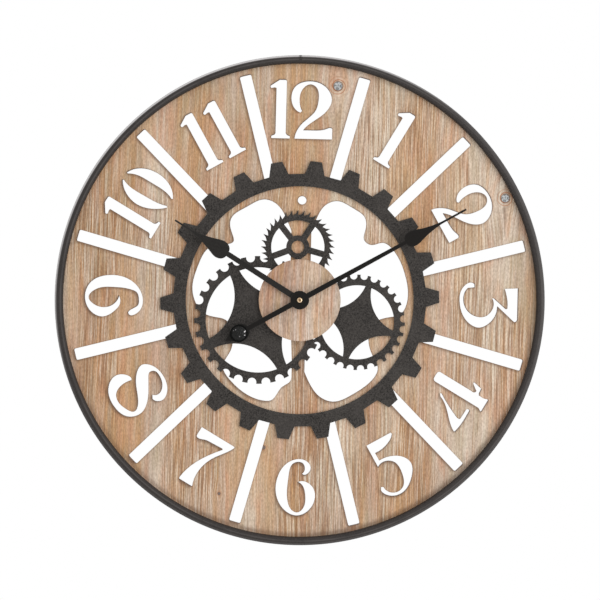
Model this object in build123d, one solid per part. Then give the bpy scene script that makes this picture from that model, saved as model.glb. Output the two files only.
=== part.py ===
from build123d import *
import math
import os

# Wooden gear wall clock, in millimetres.
# Every piece is drawn in the dial frame: X right, Y up, Z out of the wall, with the
# origin at the dial's centre on the wall. The last step turns it to the part's frame:
# +Z up, front towards -Y, origin in the hanging hole halfway through the board.

# Rim hoop, a rolled steel channel whose back edge rests on the wall
RIM_RADIUS = 300.0
RIM_FACE = 10.0
RIM_DEPTH = 37.5
RIM_GAUGE = 1.8
RIM_OUTER_ROUND = 4.0
RIM_INNER_ROUND = 3.0

# Small clearances of threads in their nuts and of fasteners in their holes
THREAD_FIT = 0.05
HOLE_FIT = 0.05

# Angle tabs welded in the hoop, behind the board, and their screws
TAB_COUNT = 6
TAB_WIDTH = 20.0
TAB_REACH = 22.0
TAB_FLANGE = 12.0
TAB_GAUGE = 1.8
SCREW_RADIUS = 1.6
SCREW_BITE = 6.0
SCREW_HEAD_RADIUS = 3.4
SCREW_HEAD_HEIGHT = 2.0
SCREW_INSET = 14.0

# Dial board
BOARD_BACK = 20.5
BOARD_THICKNESS = 9.0
BOARD_CLEARANCE = 0.3
HOURS = 12
SLOT_EDGE = 16.0
SLOT_WIDTH = 14.2
SLOT_CORNER = 1.8
NUMERAL_SHIFT = 2.5
UPRIGHT_HOURS = (9, 10, 11, 12, 1, 2, 3)
BOSS_RADIUS = 44.0
HANG_HEIGHT = 122.8
HANG_RADIUS = 5.3

# Toothed ring on the board; its nails and the inner ends of the slots lie under its seat line
RING_INNER = 139.7
RING_ROOT = 155.0
RING_TIP = 171.0
RING_SEAT = 8.3
RING_TEETH = 22
RING_TIP_WIDTH = 14.1
RING_ROOT_WIDTH = 24.2
RING_TURN = 100.9

# Cluster of three gears, cut from one sheet as thick as the ring
SHEET_THICKNESS = 3.0
LEFT_CENTER = (-50.2, -25.4)
LEFT_TIP = 78.3
LEFT_ROOT = 71.2
LEFT_GAP = 10.8
LEFT_RIM = 64.5
LEFT_WINDOW_RADIUS = 59.3
LEFT_WINDOW_REACH = 93.0
LEFT_TEETH_TURN = 117.75
LEFT_STAR_TURN = 118.0
RIGHT_CENTER = (71.0, -25.4)
RIGHT_TIP = 58.5
RIGHT_ROOT = 52.7
RIGHT_GAP = 8.8
RIGHT_RIM = 45.4
RIGHT_WINDOW_RADIUS = 47.2
RIGHT_WINDOW_REACH = 71.7
RIGHT_TEETH_TURN = 50.55
RIGHT_STAR_TURN = 73.5
STAR_TEETH = 28
STAR_POINTS = 4
RATCHET_CENTER = (-3.9, 65.1)
RATCHET_TEETH = 36
RATCHET_TIP = 45.3
RATCHET_ROOT = 39.0
RATCHET_HOLLOW = 41.2
RATCHET_HOLLOW_SHARE = 0.4
RATCHET_RIM = 32.6
RATCHET_HUB = 14.2
RATCHET_HOLE = 7.8
RATCHET_SPOKES = 5
RATCHET_SPOKE_WIDTH = 7.7
RATCHET_TURN = 10.4
RATCHET_SPOKE_TURN = 129.4

# Nails through ring and cluster into the board
NAIL_RADIUS = 0.7
NAIL_BITE = 6.0
NAIL_HEAD_RADIUS = 2.1
NAIL_HEAD_HEIGHT = 0.8
RING_NAILS = 6
RING_NAIL_TURN = 4.0
LEFT_NAIL = (66.0, 208.0)
RIGHT_NAIL = (48.0, 343.5)
RATCHET_NAIL = (36.0, 90.0)

# Wooden hub disc
HUB_RADIUS = 50.0
HUB_THICKNESS = 6.0

# Threaded bush, washer and nut that hold the movement on the dial
BUSH_RADIUS = 4.0
BUSH_FLANGE_RADIUS = 5.5
BUSH_FLANGE = 1.0
BUSH_STAND = 4.0
BUSH_HOLE_FIT = 0.2
WASHER_RADIUS = 8.0
WASHER_THICKNESS = 0.8
NUT_FLATS = 12.0
NUT_HEIGHT = 3.0

# Running fits of the arbors and pipes
RUN_FIT = 0.05
PIPE_RADIUS = 2.6
MINUTE_ARBOR_RADIUS = 1.6
SECOND_ARBOR_RADIUS = 0.45
ARBOR_RADIUS = 0.4
SETTING_ARBOR_RADIUS = 0.6
PIVOT_DEPTH = 0.6

# Hands, cut from sheet, each riveted on a brass collet
HAND_GAUGE = 0.8
HAND_ROOM = 1.1
HAND_GAP = 2.0
HOUR_HAND_TURN = 301.3
HOUR_HUB_RADIUS = 9.0
HOUR_COLLET_BARREL = 3.4
HOUR_COLLET_FLANGE = 4.6
MINUTE_HAND_TURN = 60.0
MINUTE_HUB_RADIUS = 11.4
MINUTE_COLLET_BARREL = 2.4
MINUTE_COLLET_FLANGE = 3.4
COLLET_FLANGE = 0.8
HAND_NUT_RADIUS = 3.5
HAND_NUT_HEIGHT = 2.5
ARBOR_RECESS = 0.4

# Movement housing; the gasket lies between it and the board
CASE_DEPTH = 17.0
CASE_CORNER = 4.0
CASE_FRONT_WALL = 1.2
CASE_WALL = 1.4
GASKET_WIDTH = 44.0
GASKET_THICKNESS = 1.0
COVER_THICKNESS = 1.5
WHEEL_ROOM = 0.9
COIL_ROOM = 1.7
SPRING_ROOM = 2.3
PARTITION_THICKNESS = 1.4
PILLAR_RADIUS = 1.8
PILLAR_INSET = 4.6
PLATE_STAND = 7.7
PLATE_THICKNESS = 0.8
PLATE_CLEARANCE = 0.2

# Train: teeth, distances between centres, directions, and how far each wheel and pinion
# stands in front of the case's back
ADDENDUM = 0.8
DEDENDUM = 1.25
TIP_SHARE = 0.2
ROOT_SHARE = 0.65
ROTOR_LEAVES = 8
INTERMEDIATE_TEETH = 40
INTERMEDIATE_LEAVES = 8
SECOND_TEETH = 48
SECOND_LEAVES = 8
THIRD_TEETH = 60
THIRD_LEAVES = 8
CENTER_TEETH = 64
CANNON_LEAVES = 12
MOTION_TEETH = 36
MOTION_LEAVES = 10
HOUR_TEETH = 40
ROTOR_REACH = 6.0
INTERMEDIATE_REACH = 8.75
INTERMEDIATE_TURN = 90.0
THIRD_REACH = 10.2
THIRD_TURN = 150.0
MOTION_REACH = 10.5
MOTION_TURN = 20.0
WHEEL_THICKNESS = 0.7
PINION_THICKNESS = 1.4
MAGNET_RADIUS = 3.0
MAGNET_STAND = 2.3
MAGNET_THICKNESS = 1.6
ROTOR_PINION_STAND = 4.2
INTERMEDIATE_WHEEL_STAND = 4.5
INTERMEDIATE_PINION_STAND = 5.8
SECOND_WHEEL_STAND = 6.1
SECOND_PINION_STAND = 8.7
SECOND_ARBOR_REACH = 19.5
THIRD_WHEEL_STAND = 9.0
THIRD_PINION_STAND = 10.0
MINUTE_ARBOR_STAND = 10.3
CENTER_WHEEL_STAND = 10.4
CANNON_STAND = 11.5
MOTION_WHEEL_STAND = 11.8
MOTION_PINION_STAND = 13.0
HOUR_WHEEL_STAND = 13.4
KNOB_RADIUS = 6.0
KNOB_GAP = 0.4
KNOB_THICKNESS = 1.5

# Stepping motor
STATOR_STAND = 2.7
STATOR_THICKNESS = 0.7
STATOR_WIDTH = 30.0
STATOR_BAR = 8.3
STATOR_LEG = 4.0
STATOR_HOLE = 3.4
STATOR_POST_RADIUS = 1.2
STATOR_POST_INSET = 2.5
COIL_REACH = 7.75
CORE_WIDTH = 2.0
CORE_THICKNESS = 1.2
BARREL_RADIUS = 1.5
WINDING_RADIUS = 2.3
FLANGE_RADIUS = 2.4
FLANGE_THICKNESS = 0.6
COIL_LENGTH = 22.0

# Circuit strip on the cover's inner face, between two pillars; the chip and the crystal
# have their places from its lower left corner
CIRCUIT_GAP = 0.6
CIRCUIT_WIDTH = 10.4
CIRCUIT_THICKNESS = 0.8
CHIP_PLACE = (6.0, 8.5)
CHIP_SIZE = 4.0
CHIP_HEIGHT = 1.0
CRYSTAL_PLACE = (6.0, 17.0)
CRYSTAL_RADIUS = 1.0
CRYSTAL_LENGTH = 6.0

# Battery and its contacts
BATTERY_RADIUS = 7.1
BATTERY_BODY = 49.5
BATTERY_NUB_RADIUS = 2.75
BATTERY_NUB = 1.0
BATTERY_FIT = 0.2
CONTACT_GAUGE = 0.4
CONTACT_WIDTH = 8.0
CONTACT_SLOT_FIT = 0.1
CONTACT_FOOT = 2.0
LEAF_PEAK = 3.0

# Depths that follow from the sizes above
BOARD_FRONT = BOARD_BACK + BOARD_THICKNESS
SHEET_FRONT = BOARD_FRONT + SHEET_THICKNESS
HUB_FRONT = SHEET_FRONT + HUB_THICKNESS
NUT_BACK = HUB_FRONT + WASHER_THICKNESS
BUSH_FRONT = HUB_FRONT + BUSH_STAND
HOUR_HAND_BACK = BUSH_FRONT + HAND_ROOM
HOUR_HAND_FRONT = HOUR_HAND_BACK + HAND_GAUGE
MINUTE_HAND_BACK = HOUR_HAND_FRONT + HAND_GAP
MINUTE_HAND_FRONT = MINUTE_HAND_BACK + HAND_GAUGE
CASE_FRONT = BOARD_BACK - GASKET_THICKNESS
CASE_BACK = CASE_FRONT - CASE_DEPTH
FRONT_INNER = CASE_FRONT - CASE_FRONT_WALL
COVER_FRONT = CASE_BACK + COVER_THICKNESS
PLATE_BACK = CASE_BACK + PLATE_STAND
PLATE_FRONT = PLATE_BACK + PLATE_THICKNESS
KNOB_BACK = CASE_BACK - KNOB_GAP - KNOB_THICKNESS
STATOR_BACK = CASE_BACK + STATOR_STAND
STATOR_FRONT = STATOR_BACK + STATOR_THICKNESS
BATTERY_DEPTH = FRONT_INNER - BATTERY_FIT - BATTERY_RADIUS
CIRCUIT_FRONT = COVER_FRONT + CIRCUIT_THICKNESS

# Radii and half widths that follow from the sizes above
HOOP_INSIDE = RIM_RADIUS - RIM_GAUGE
BOARD_RADIUS = HOOP_INSIDE - BOARD_CLEARANCE
RING_SEAT_RADIUS = RING_INNER + RING_SEAT
SLOT_OUTER = RIM_RADIUS - SLOT_EDGE
NUMERAL_RADIUS = (RING_TIP + SLOT_OUTER) / 2 + NUMERAL_SHIFT
BUSH_HOLE = BUSH_RADIUS + BUSH_HOLE_FIT
PIPE_BORE = MINUTE_ARBOR_RADIUS + RUN_FIT
CASE_WIDTH = BATTERY_BODY + BATTERY_NUB + CONTACT_GAUGE + SPRING_ROOM + 2 * CASE_WALL
CASE_HALF = CASE_WIDTH / 2
CASE_INSIDE = CASE_HALF - CASE_WALL
CIRCUIT_LEFT = CIRCUIT_GAP - CASE_INSIDE
CONTACT_SLOT = CONTACT_GAUGE + CONTACT_SLOT_FIT

# Cut-through figures. A run goes on from the end of the run before it, the first one
# from the end of the last. The one and the two stand on their baseline; the others are
# drawn about the middle of their place on the dial.
ONE = (
    ("line", (11.4, 0), (11.4, 3.4), (7.6, 5), (6.3, 7), (6.3, 70.4)),
    ("curve", (5.7, 72), (4.2, 72.6)),
    ("line", (-2.5, 72.6), (-13.2, 65.5)),
    ("curve", (-13.7, 63), (-12.2, 61.4)),
    ("line", (-8.4, 62.3), (-6.3, 61.6), (-6.3, 7), (-7.6, 5), (-11.4, 3.4), (-11.4, 0)),
)
TWO = (
    ("line", (46.3, 0), (46.3, 13.6)),
    ("curve", (43.8, 14.8), (39.2, 13.4), (33.2, 11.8), (23.2, 11.2), (10.8, 11.1)),
    ("curve", (18.1, 18.3), (36.7, 32.3), (45, 49.3), (37.9, 64.3), (16.8, 71.6),
     (-0.6, 64.3), (-4.8, 50), (0.1, 36.3), (6.7, 32.1)),
    ("line", (8.9, 34.3)),
    ("curve", (5.3, 49.3), (10.5, 63), (18.4, 67), (25, 64.1), (28.7, 48),
     (25.1, 35.3), (9, 19.3), (0.9, 5.3), (0, 0)),
)
THREE = (
    ("line", (17.5, 38)),
    ("curve", (20.5, 35.5), (19.6, 32.5)),
    ("line", (1.9, 13)),
    ("curve", (9.1, 12.3), (24.4, 1.5), (28.3, -8), (20, -25), (-4.8, -34), (-16.8, -32.2),
     (-26.8, -19.5), (-25.2, -15.7)),
    ("line", (-21.2, -15.3), (-20.2, -23.5)),
    ("curve", (-7.9, -28.8), (9, -22.5), (14.8, -3), (3.2, 7.5), (-8, 6)),
    ("line", (-8.1, 8.5), (4.8, 23.5), (4.3, 24.9)),
    ("curve", (-6.2, 24.7), (-14.2, 23), (-20.1, 21.3)),
    ("line", (-21, 38)),
)
FOUR_STEM = (
    ("line", (1.5, 35.5)),
    ("curve", (2.7, 38.8), (5.5, 39.8)),
    ("line", (11, 39.8)),
    ("curve", (13.8, 38.6), (14.6, 35.5)),
    ("line", (14.6, -9)),
    ("curve", (15.2, -12), (17, -13), (19, -11.3)),
    ("line", (23.6, -5), (25.8, -4.8), (23.4, -17.3), (16.7, -18), (14.7, -19.5), (14.6, -25.5)),
    ("line", (16.2, -30.3), (15.8, -31.8), (-0.5, -31.8), (-1, -30.3), (1.5, -26)),
)
FOUR_ARM = (
    ("curve", (-35.2, -9.3), (-23.5, 3), (-10.9, 21)),
    ("line", (-8, 23.6), (-6.7, 21.7)),
    ("curve", (-15, 6.8), (-22.6, -10.5)),
    ("curve", (-22.2, -13.3), (-20, -14)),
    ("line", (-8, -14.2), (-5.9, -16.2), (-7.3, -19), (-20, -19.2)),
    ("curve", (-32, -18.3), (-38.5, -17)),
    ("line", (-39, -15.6)),
)
FIVE = (
    ("line", (20.1, 34), (21, 31.8)),
    ("curve", (17.9, 28), (11, 23.8), (2.1, 20.9), (-8.6, 20.5)),
    ("line", (-8.6, 10.6)),
    ("curve", (7.4, 8.3), (21.7, -2.5), (24.4, -10.5), (16.3, -27.3), (-0.5, -38), (-9.5, -38),
     (-18.6, -33.5), (-24.1, -24), (-21.9, -19)),
    ("line", (-19.5, -20.5)),
    ("curve", (-14.1, -31), (-6.6, -33.8), (1.4, -31.7), (8.7, -17), (6.6, 0), (-3.5, 6),
     (-13.6, 3.6)),
    ("line", (-13.6, 34)),
)
SIX = (
    ("curve", (8, 3.3), (12.6, -9), (8.8, -27), (3.3, -30.3), (-2.7, -28.3), (-9.4, -14), (-8.5, 13),
     (-2.6, 29.3), (2.8, 31), (8.4, 29.7), (11.2, 25), (8, 17.3)),
    ("curve", (10.2, 15.3), (14.7, 16.8), (18.6, 24), (14.3, 32), (6.7, 35), (-11.1, 29.3),
     (-22.8, 9), (-22.1, -14), (-7.1, -32.5), (2.5, -35), (11.4, -32.5), (24, -16), (22.1, 0),
     (15.9, 6), (7.4, 8.2), (2.7, 6.5)),
)
SEVEN = (
    ("line", (25.3, 34.6), (26.2, 32.8)),
    ("curve", (24.9, 30), (9.4, 7), (3, -15), (3.4, -24), (6.1, -33)),
    ("line", (5.6, -34.6), (-12.3, -34.6), (-12.9, -32.5)),
    ("curve", (-6.2, -8), (8.2, 15.5), (14.8, 23.8)),
    ("line", (13.5, 24.5)),
    ("curve", (-1, 23.7), (-10.9, 22.3), (-16.9, 20.2), (-20.6, 20.8), (-21.5, 23.5)),
    ("line", (-21.5, 34.6)),
)
EIGHT = (
    ("line", (19.8, 12.8)),
    ("curve", (24, 15.2), (26.9, 24), (21.3, 33), (1.7, 38.7), (-18.6, 30.5), (-23.1, 22),
     (-14.6, 8.8), (10.7, -2.5), (19.3, -7.7), (22.7, -12.5), (13.1, -22), (1.2, -25.2), (-5.8, -23.3),
     (-13.7, -7.5), (-12.6, 1.8)),
    ("curve", (-14.5, 2.8), (-19.4, 1), (-26.8, -15), (-17.7, -28.5), (6.4, -33), (23.7, -25),
     (28.4, -7), (16.4, 9), (-5.9, 21.8), (-10.8, 26.5), (-9.2, 31.3), (-2.2, 34), (13.9, 29.5),
     (17.7, 24.5), (14.9, 15.4)),
)
NINE = (
    ("curve", (-22.9, -20.8), (-20.9, -30.5), (-3.7, -37.6), (14.1, -29), (25.3, 5), (15.7, 28),
     (-3.4, 34.3), (-22.7, 23), (-25.9, 12), (-17, -4.7), (-11.4, -9), (-5.4, -10), (0.9, -7.8)),
    ("curve", (-5.5, -5.5), (-13.2, 4), (-11.1, 22), (-2.3, 29), (6.9, 21.5), (10.8, 0), (8, -23),
     (4.4, -29.7), (-2.8, -32), (-10.8, -31.2), (-16.6, -22.5), (-20.1, -19.2)),
)
ZERO_LEFT = (
    ("curve", (1.9, 22), (-3.6, 2), (2.4, -19), (12.2, -32)),
    ("line", (13.8, -30.5)),
    ("curve", (10.9, -18), (10, 0), (10.6, 22), (13.9, 31.5)),
    ("line", (13.1, 33.3)),
)
ZERO_RIGHT = (
    ("curve", (33.8, 25.5), (42.2, 1), (35, -24), (25, -32.6)),
    ("line", (24, -31)),
    ("curve", (27.3, -22), (28.3, 0), (26.9, 22), (22.8, 31)),
    ("line", (23.4, 33.4)),
)

# Figures of each hour with their shift to the right and up from the hour's place
NUMERALS = {
    1: ((ONE, -2.2, -35.3),),
    2: ((TWO, -20.2, -35.3),),
    3: ((THREE, 0, 0),),
    4: ((FOUR_STEM, 0, 0), (FOUR_ARM, 0, 0)),
    5: ((FIVE, 0, 0),),
    6: ((SIX, 0, 0),),
    7: ((SEVEN, 0, 0),),
    8: ((EIGHT, 0, 0),),
    9: ((NINE, 0, 0),),
    10: ((ONE, -19.4, -35.0), (ZERO_LEFT, 0, 0), (ZERO_RIGHT, 0, 0)),
    11: ((ONE, -12.3, -36.2), (ONE, 19.4, -36.2)),
    12: ((ONE, -28.5, -32.0), (TWO, -11.4, -32.0)),
}

# The two centre openings, drawn from the top of the column round to the foot of the column.
# They leave a column above and below the boss and four lobes that carry the gears.
LEFT_OPENING = (
    ("line", (-7.9, -75), (-7.9, -92)),
    ("curve", (-10.5, -101.3), (-19.4, -107.5), (-32, -123.8), (-42, -124.6), (-62.2, -117.6),
     (-82.6, -101.1), (-92.6, -83), (-83.5, -64.1), (-81.4, -47), (-89.4, -27.2), (-113.6, -20.8),
     (-126.9, -8.1), (-132.4, 11.8), (-126, 39.9), (-113.6, 61.3), (-96.7, 66), (-83.4, 70),
     (-87.1, 85.9), (-86.5, 99), (-67.8, 113.4), (-46.5, 123), (-32.9, 118.8), (-20.5, 103.6),
     (-12.3, 85)),
    ("line", (-12.3, 0)),
)
RIGHT_OPENING = (
    ("line", (12.3, 86)),
    ("curve", (19.5, 103.5), (29.1, 117.8), (44, 123), (62.2, 115.1), (77.5, 103.9), (78.9, 89),
     (77.5, 76), (86.3, 70.1), (100.2, 73), (114.5, 63.3), (129.2, 33.2), (132.9, 6.2), (124.4, -14),
     (107.5, -18.9), (90, -28), (85.7, -46.9), (91.7, -66.8), (98, -80.6), (85.5, -101.9),
     (67.8, -114.4), (44, -123.8), (27.9, -118.4), (15.5, -103.7), (7.9, -88)),
    ("line", (7.9, -75), (12.3, 0)),
)

# Half outlines of the hands, from the hub to the tip and back down the middle line
HOUR_BLADE = (
    ("line", (3.7, 0), (3.2, 104.5)),
    ("curve", (9, 108), (11.2, 115), (9.3, 123), (5.8, 133.5), (3.8, 141), (1.2, 168)),
    ("line", (1.1, 180.5), (0, 180.5), (0, 0)),
)
MINUTE_BLADE = (
    ("line", (3.4, 0), (2.3, 147)),
    ("curve", (7.2, 149.5), (9.4, 156), (6.2, 170), (2.6, 186), (1.3, 200)),
    ("line", (1.2, 231), (0, 231), (0, 0)),
)
MINUTE_TAIL = (
    ("line", (3.2, 0), (3, -71)),
    ("curve", (8.5, -75.5), (10.6, -84), (5.5, -95), (0, -104)),
    ("line", (0, 0)),
)

SEAT = (Align.CENTER, Align.CENTER, Align.MIN)
CORNER = (Align.MIN, Align.MIN, Align.MIN)


def polar(radius, degrees, center=(0, 0)):
    """Point at a radius and a direction from a centre."""
    angle = math.radians(degrees)
    return (center[0] + radius * math.cos(angle), center[1] + radius * math.sin(angle))


def at(point):
    """Place on the dial."""
    return Pos(point[0], point[1], 0)


def disc(radius, back, front):
    """Round solid on the dial's axis between two depths."""
    return Pos(0, 0, back) * Cylinder(radius, front - back, align=SEAT)


def tube(outer, inner, back, front):
    """Round solid with a bore."""
    return disc(outer, back, front) - disc(inner, back, front)


def block(left, right, bottom, top, back, front):
    """Box between two sides, two heights and two depths."""
    return Pos(left, bottom, back) * Box(right - left, top - bottom, front - back, align=CORNER)


def plate(face, back, front):
    """Sheet with the outline of a face."""
    return Pos(0, 0, back) * extrude(face, front - back, dir=(0, 0, 1))


def outline(runs):
    """Face inside a closed chain of straight and curved runs."""
    end = runs[-1][-1]
    edges = []
    for kind, *points in runs:
        path = [end, *points]
        edges += Spline(*path).edges() if kind == "curve" else Polyline(*path).edges()
        end = points[-1]
    return make_face(edges)


def mirrored(runs):
    """Face made of a half outline and its mirror image."""
    half = outline(runs)
    return half + mirror(half, about=Plane.YZ)


def round_places(radius, count, turn=0.0):
    """Places evenly round the axis, turned to face outwards."""
    return [Rot(0, 0, turn + 360 * step / count) * Pos(radius, 0, 0) for step in range(count)]


def rim_hoop():
    """Channel turned round the dial: long outer wall, rounded front, short lip on the board."""
    lip = RIM_RADIUS - RIM_FACE
    section = FilletPolyline(
        (RIM_RADIUS, 0, 0),
        (RIM_RADIUS, 0, RIM_DEPTH),
        (lip, 0, RIM_DEPTH),
        (lip, 0, BOARD_FRONT),
        (lip + RIM_GAUGE, 0, BOARD_FRONT),
        (lip + RIM_GAUGE, 0, RIM_DEPTH - RIM_GAUGE),
        (HOOP_INSIDE, 0, RIM_DEPTH - RIM_GAUGE),
        (HOOP_INSIDE, 0, 0),
        radius=(0, RIM_OUTER_ROUND, RIM_INNER_ROUND, 0, 0, 0, 0, 0),
        close=True,
    )
    return revolve(make_face(section.edges()), Axis.Z)


def tab_places():
    """Screw places of the tabs, at every second hour."""
    return round_places(HOOP_INSIDE - SCREW_INSET, TAB_COUNT, 90)


def rim_tabs():
    """Angle tabs: a foot against the board's back and a flange welded to the hoop's wall."""
    foot_back = BOARD_BACK - TAB_GAUGE
    foot = tube(HOOP_INSIDE, HOOP_INSIDE - TAB_REACH, foot_back, BOARD_BACK)
    flange = tube(HOOP_INSIDE, HOOP_INSIDE - TAB_GAUGE, BOARD_BACK - TAB_FLANGE, foot_back)
    angle = foot + flange
    stock = block(0, RIM_RADIUS, -TAB_WIDTH / 2, TAB_WIDTH / 2, 0, BOARD_BACK)
    hole = at((HOOP_INSIDE - SCREW_INSET, 0)) * disc(SCREW_RADIUS + HOLE_FIT, foot_back, BOARD_BACK)
    tab = (angle & stock) - hole
    return Compound([place * tab for place in round_places(0, TAB_COUNT, 90)])


def tab_screws():
    """Pan screws from the tabs into the board."""
    head_front = BOARD_BACK - TAB_GAUGE
    head = disc(SCREW_HEAD_RADIUS, head_front - SCREW_HEAD_HEIGHT, head_front)
    screw = head + disc(SCREW_RADIUS, head_front, BOARD_BACK + SCREW_BITE)
    return Compound([place * screw for place in tab_places()])


def numeral_faces():
    """Cut-through figures, standing upright in the upper half and turned over in the lower."""
    faces = []
    for hour, figures in NUMERALS.items():
        turn = -360 * hour / HOURS
        reach = NUMERAL_RADIUS if hour in UPRIGHT_HOURS else -NUMERAL_RADIUS
        tip_over = 0 if hour in UPRIGHT_HOURS else 180
        for runs, right, up in figures:
            faces.append(Rot(0, 0, turn + tip_over) * Pos(right, reach + up, 0) * outline(runs))
    return faces


def dial_board():
    """Board with slots, figures, two centre openings, hanging hole and fastener holes."""
    slot = RectangleRounded(SLOT_OUTER - RING_SEAT_RADIUS, SLOT_WIDTH, SLOT_CORNER)
    slot_middle = (SLOT_OUTER + RING_SEAT_RADIUS) / 2
    boss = Circle(BOSS_RADIUS)
    face = Circle(BOARD_RADIUS)
    face -= [place * slot for place in round_places(slot_middle, HOURS, 180 / HOURS)]
    face -= numeral_faces()
    face -= [outline(LEFT_OPENING) - boss, outline(RIGHT_OPENING) - boss]
    face -= [Pos(0, HANG_HEIGHT) * Circle(HANG_RADIUS), Circle(BUSH_HOLE)]
    board = plate(face, BOARD_BACK, BOARD_FRONT)
    pilot = disc(SCREW_RADIUS + HOLE_FIT, BOARD_BACK, BOARD_BACK + SCREW_BITE + HOLE_FIT)
    board -= [place * pilot for place in tab_places()]
    nail_hole = disc(NAIL_RADIUS + HOLE_FIT, BOARD_FRONT - NAIL_BITE - HOLE_FIT, BOARD_FRONT)
    board -= [place * nail_hole for place in ring_nail_places() + cluster_nail_places()]
    return board


def ring_nail_places():
    """Nail places on the toothed ring."""
    return round_places(RING_SEAT_RADIUS, RING_NAILS, RING_NAIL_TURN)


def cluster_nail_places():
    """Nail places on the gears, each over wood."""
    spots = ((LEFT_NAIL, LEFT_CENTER), (RIGHT_NAIL, RIGHT_CENTER), (RATCHET_NAIL, RATCHET_CENTER))
    return [at(polar(radius, turn, center)) for (radius, turn), center in spots]


def sheet_nails():
    """Flat-headed nails through ring and cluster."""
    nail = disc(NAIL_RADIUS, BOARD_FRONT - NAIL_BITE, SHEET_FRONT)
    nail += disc(NAIL_HEAD_RADIUS, SHEET_FRONT, SHEET_FRONT + NAIL_HEAD_HEIGHT)
    return Compound([place * nail for place in ring_nail_places() + cluster_nail_places()])


def gear_ring():
    """Ring with wide, straight-sided teeth and straight roots."""
    points = []
    tip_angle = math.degrees(math.asin(RING_TIP_WIDTH / 2 / RING_TIP))
    root_angle = math.degrees(math.asin(RING_ROOT_WIDTH / 2 / RING_ROOT))
    for step in range(RING_TEETH):
        middle = RING_TURN + 360 * step / RING_TEETH
        points.append(polar(RING_ROOT, middle - root_angle))
        points.append(polar(RING_TIP, middle - tip_angle))
        points.append(polar(RING_TIP, middle + tip_angle))
        points.append(polar(RING_ROOT, middle + root_angle))
    hole = Circle(NAIL_RADIUS + HOLE_FIT)
    face = make_face(Polyline(*points, close=True).edges()) - Circle(RING_INNER)
    face -= [place * hole for place in ring_nail_places()]
    return plate(face, BOARD_FRONT, SHEET_FRONT)


def star_gear(tip, root, gap, rim, window_radius, window_reach, teeth_turn, star_turn):
    """Gear with round-bottomed gaps and lens windows that leave a star with hollow sides."""
    half_pitch = 180 / STAR_TEETH
    gap_middle = root + gap / 2
    notch = Circle(gap / 2) + Pos(gap / 2, 0) * Rectangle(gap, gap)
    window = Circle(rim) & Pos(window_reach, 0) * Circle(window_radius)
    window_turn = star_turn + 180 / STAR_POINTS
    face = Circle(tip)
    face -= [place * notch for place in round_places(gap_middle, STAR_TEETH, teeth_turn + half_pitch)]
    face -= [place * window for place in round_places(0, STAR_POINTS, window_turn)]
    return face


def ratchet_gear():
    """Saw-toothed wheel with a steep side, a hollow back and straight spokes."""
    points = []
    pitch = 360 / RATCHET_TEETH
    for step in range(RATCHET_TEETH):
        steep = RATCHET_TURN + pitch * step
        points.append(polar(RATCHET_ROOT, steep))
        points.append(polar(RATCHET_TIP, steep))
        points.append(polar(RATCHET_HOLLOW, steep + RATCHET_HOLLOW_SHARE * pitch))
    spoke = Pos(RATCHET_RIM / 2, 0) * Rectangle(RATCHET_RIM, RATCHET_SPOKE_WIDTH)
    window = Circle(RATCHET_RIM) - Circle(RATCHET_HUB)
    window -= [place * spoke for place in round_places(0, RATCHET_SPOKES, RATCHET_SPOKE_TURN)]
    return make_face(Polyline(*points, close=True).edges()) - window - Circle(RATCHET_HOLE)


def gear_cluster():
    """Three gears and the seat of the hub disc, cut from one sheet."""
    face = at(LEFT_CENTER) * star_gear(
        LEFT_TIP, LEFT_ROOT, LEFT_GAP, LEFT_RIM,
        LEFT_WINDOW_RADIUS, LEFT_WINDOW_REACH, LEFT_TEETH_TURN, LEFT_STAR_TURN,
    )
    face += at(RIGHT_CENTER) * star_gear(
        RIGHT_TIP, RIGHT_ROOT, RIGHT_GAP, RIGHT_RIM,
        RIGHT_WINDOW_RADIUS, RIGHT_WINDOW_REACH, RIGHT_TEETH_TURN, RIGHT_STAR_TURN,
    )
    face += [at(RATCHET_CENTER) * ratchet_gear(), Circle(BOSS_RADIUS)]
    face -= Circle(BUSH_HOLE)
    face -= [place * Circle(NAIL_RADIUS + HOLE_FIT) for place in cluster_nail_places()]
    return plate(face, BOARD_FRONT, SHEET_FRONT)


def hub_disc():
    """Wooden disc over the middle of the cluster."""
    return tube(HUB_RADIUS, BUSH_HOLE, SHEET_FRONT, HUB_FRONT)


def threaded_bush():
    """Brass bush: flange inside the case, threaded barrel out through the dial."""
    bush = disc(BUSH_FLANGE_RADIUS, FRONT_INNER - BUSH_FLANGE, FRONT_INNER)
    bush += disc(BUSH_RADIUS, FRONT_INNER, BUSH_FRONT)
    return bush - disc(PIPE_RADIUS + RUN_FIT, FRONT_INNER - BUSH_FLANGE, BUSH_FRONT)


def face_washer():
    """Washer on the hub disc."""
    return tube(WASHER_RADIUS, BUSH_HOLE, HUB_FRONT, NUT_BACK)


def hex_nut():
    """Nut on the bush."""
    hexagon = RegularPolygon(NUT_FLATS / 2, 6, major_radius=False)
    return plate(hexagon - Circle(BUSH_RADIUS + THREAD_FIT), NUT_BACK, NUT_BACK + NUT_HEIGHT)


def hand_nut():
    """Open nut that shows the hollow end of the minute arbor."""
    front = MINUTE_HAND_FRONT + HAND_NUT_HEIGHT
    return tube(HAND_NUT_RADIUS, MINUTE_ARBOR_RADIUS + THREAD_FIT, MINUTE_HAND_FRONT, front)


def hour_hand():
    """Spade hand of the hours."""
    face = mirrored(HOUR_BLADE) + Circle(HOUR_HUB_RADIUS) - Circle(HOUR_COLLET_BARREL)
    return Rot(0, 0, -HOUR_HAND_TURN) * plate(face, HOUR_HAND_BACK, HOUR_HAND_FRONT)


def minute_hand():
    """Spade hand of the minutes with a drop-shaped tail."""
    face = mirrored(MINUTE_BLADE) + mirrored(MINUTE_TAIL) + Circle(MINUTE_HUB_RADIUS)
    face -= Circle(MINUTE_COLLET_BARREL)
    return Rot(0, 0, -MINUTE_HAND_TURN) * plate(face, MINUTE_HAND_BACK, MINUTE_HAND_FRONT)


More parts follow.
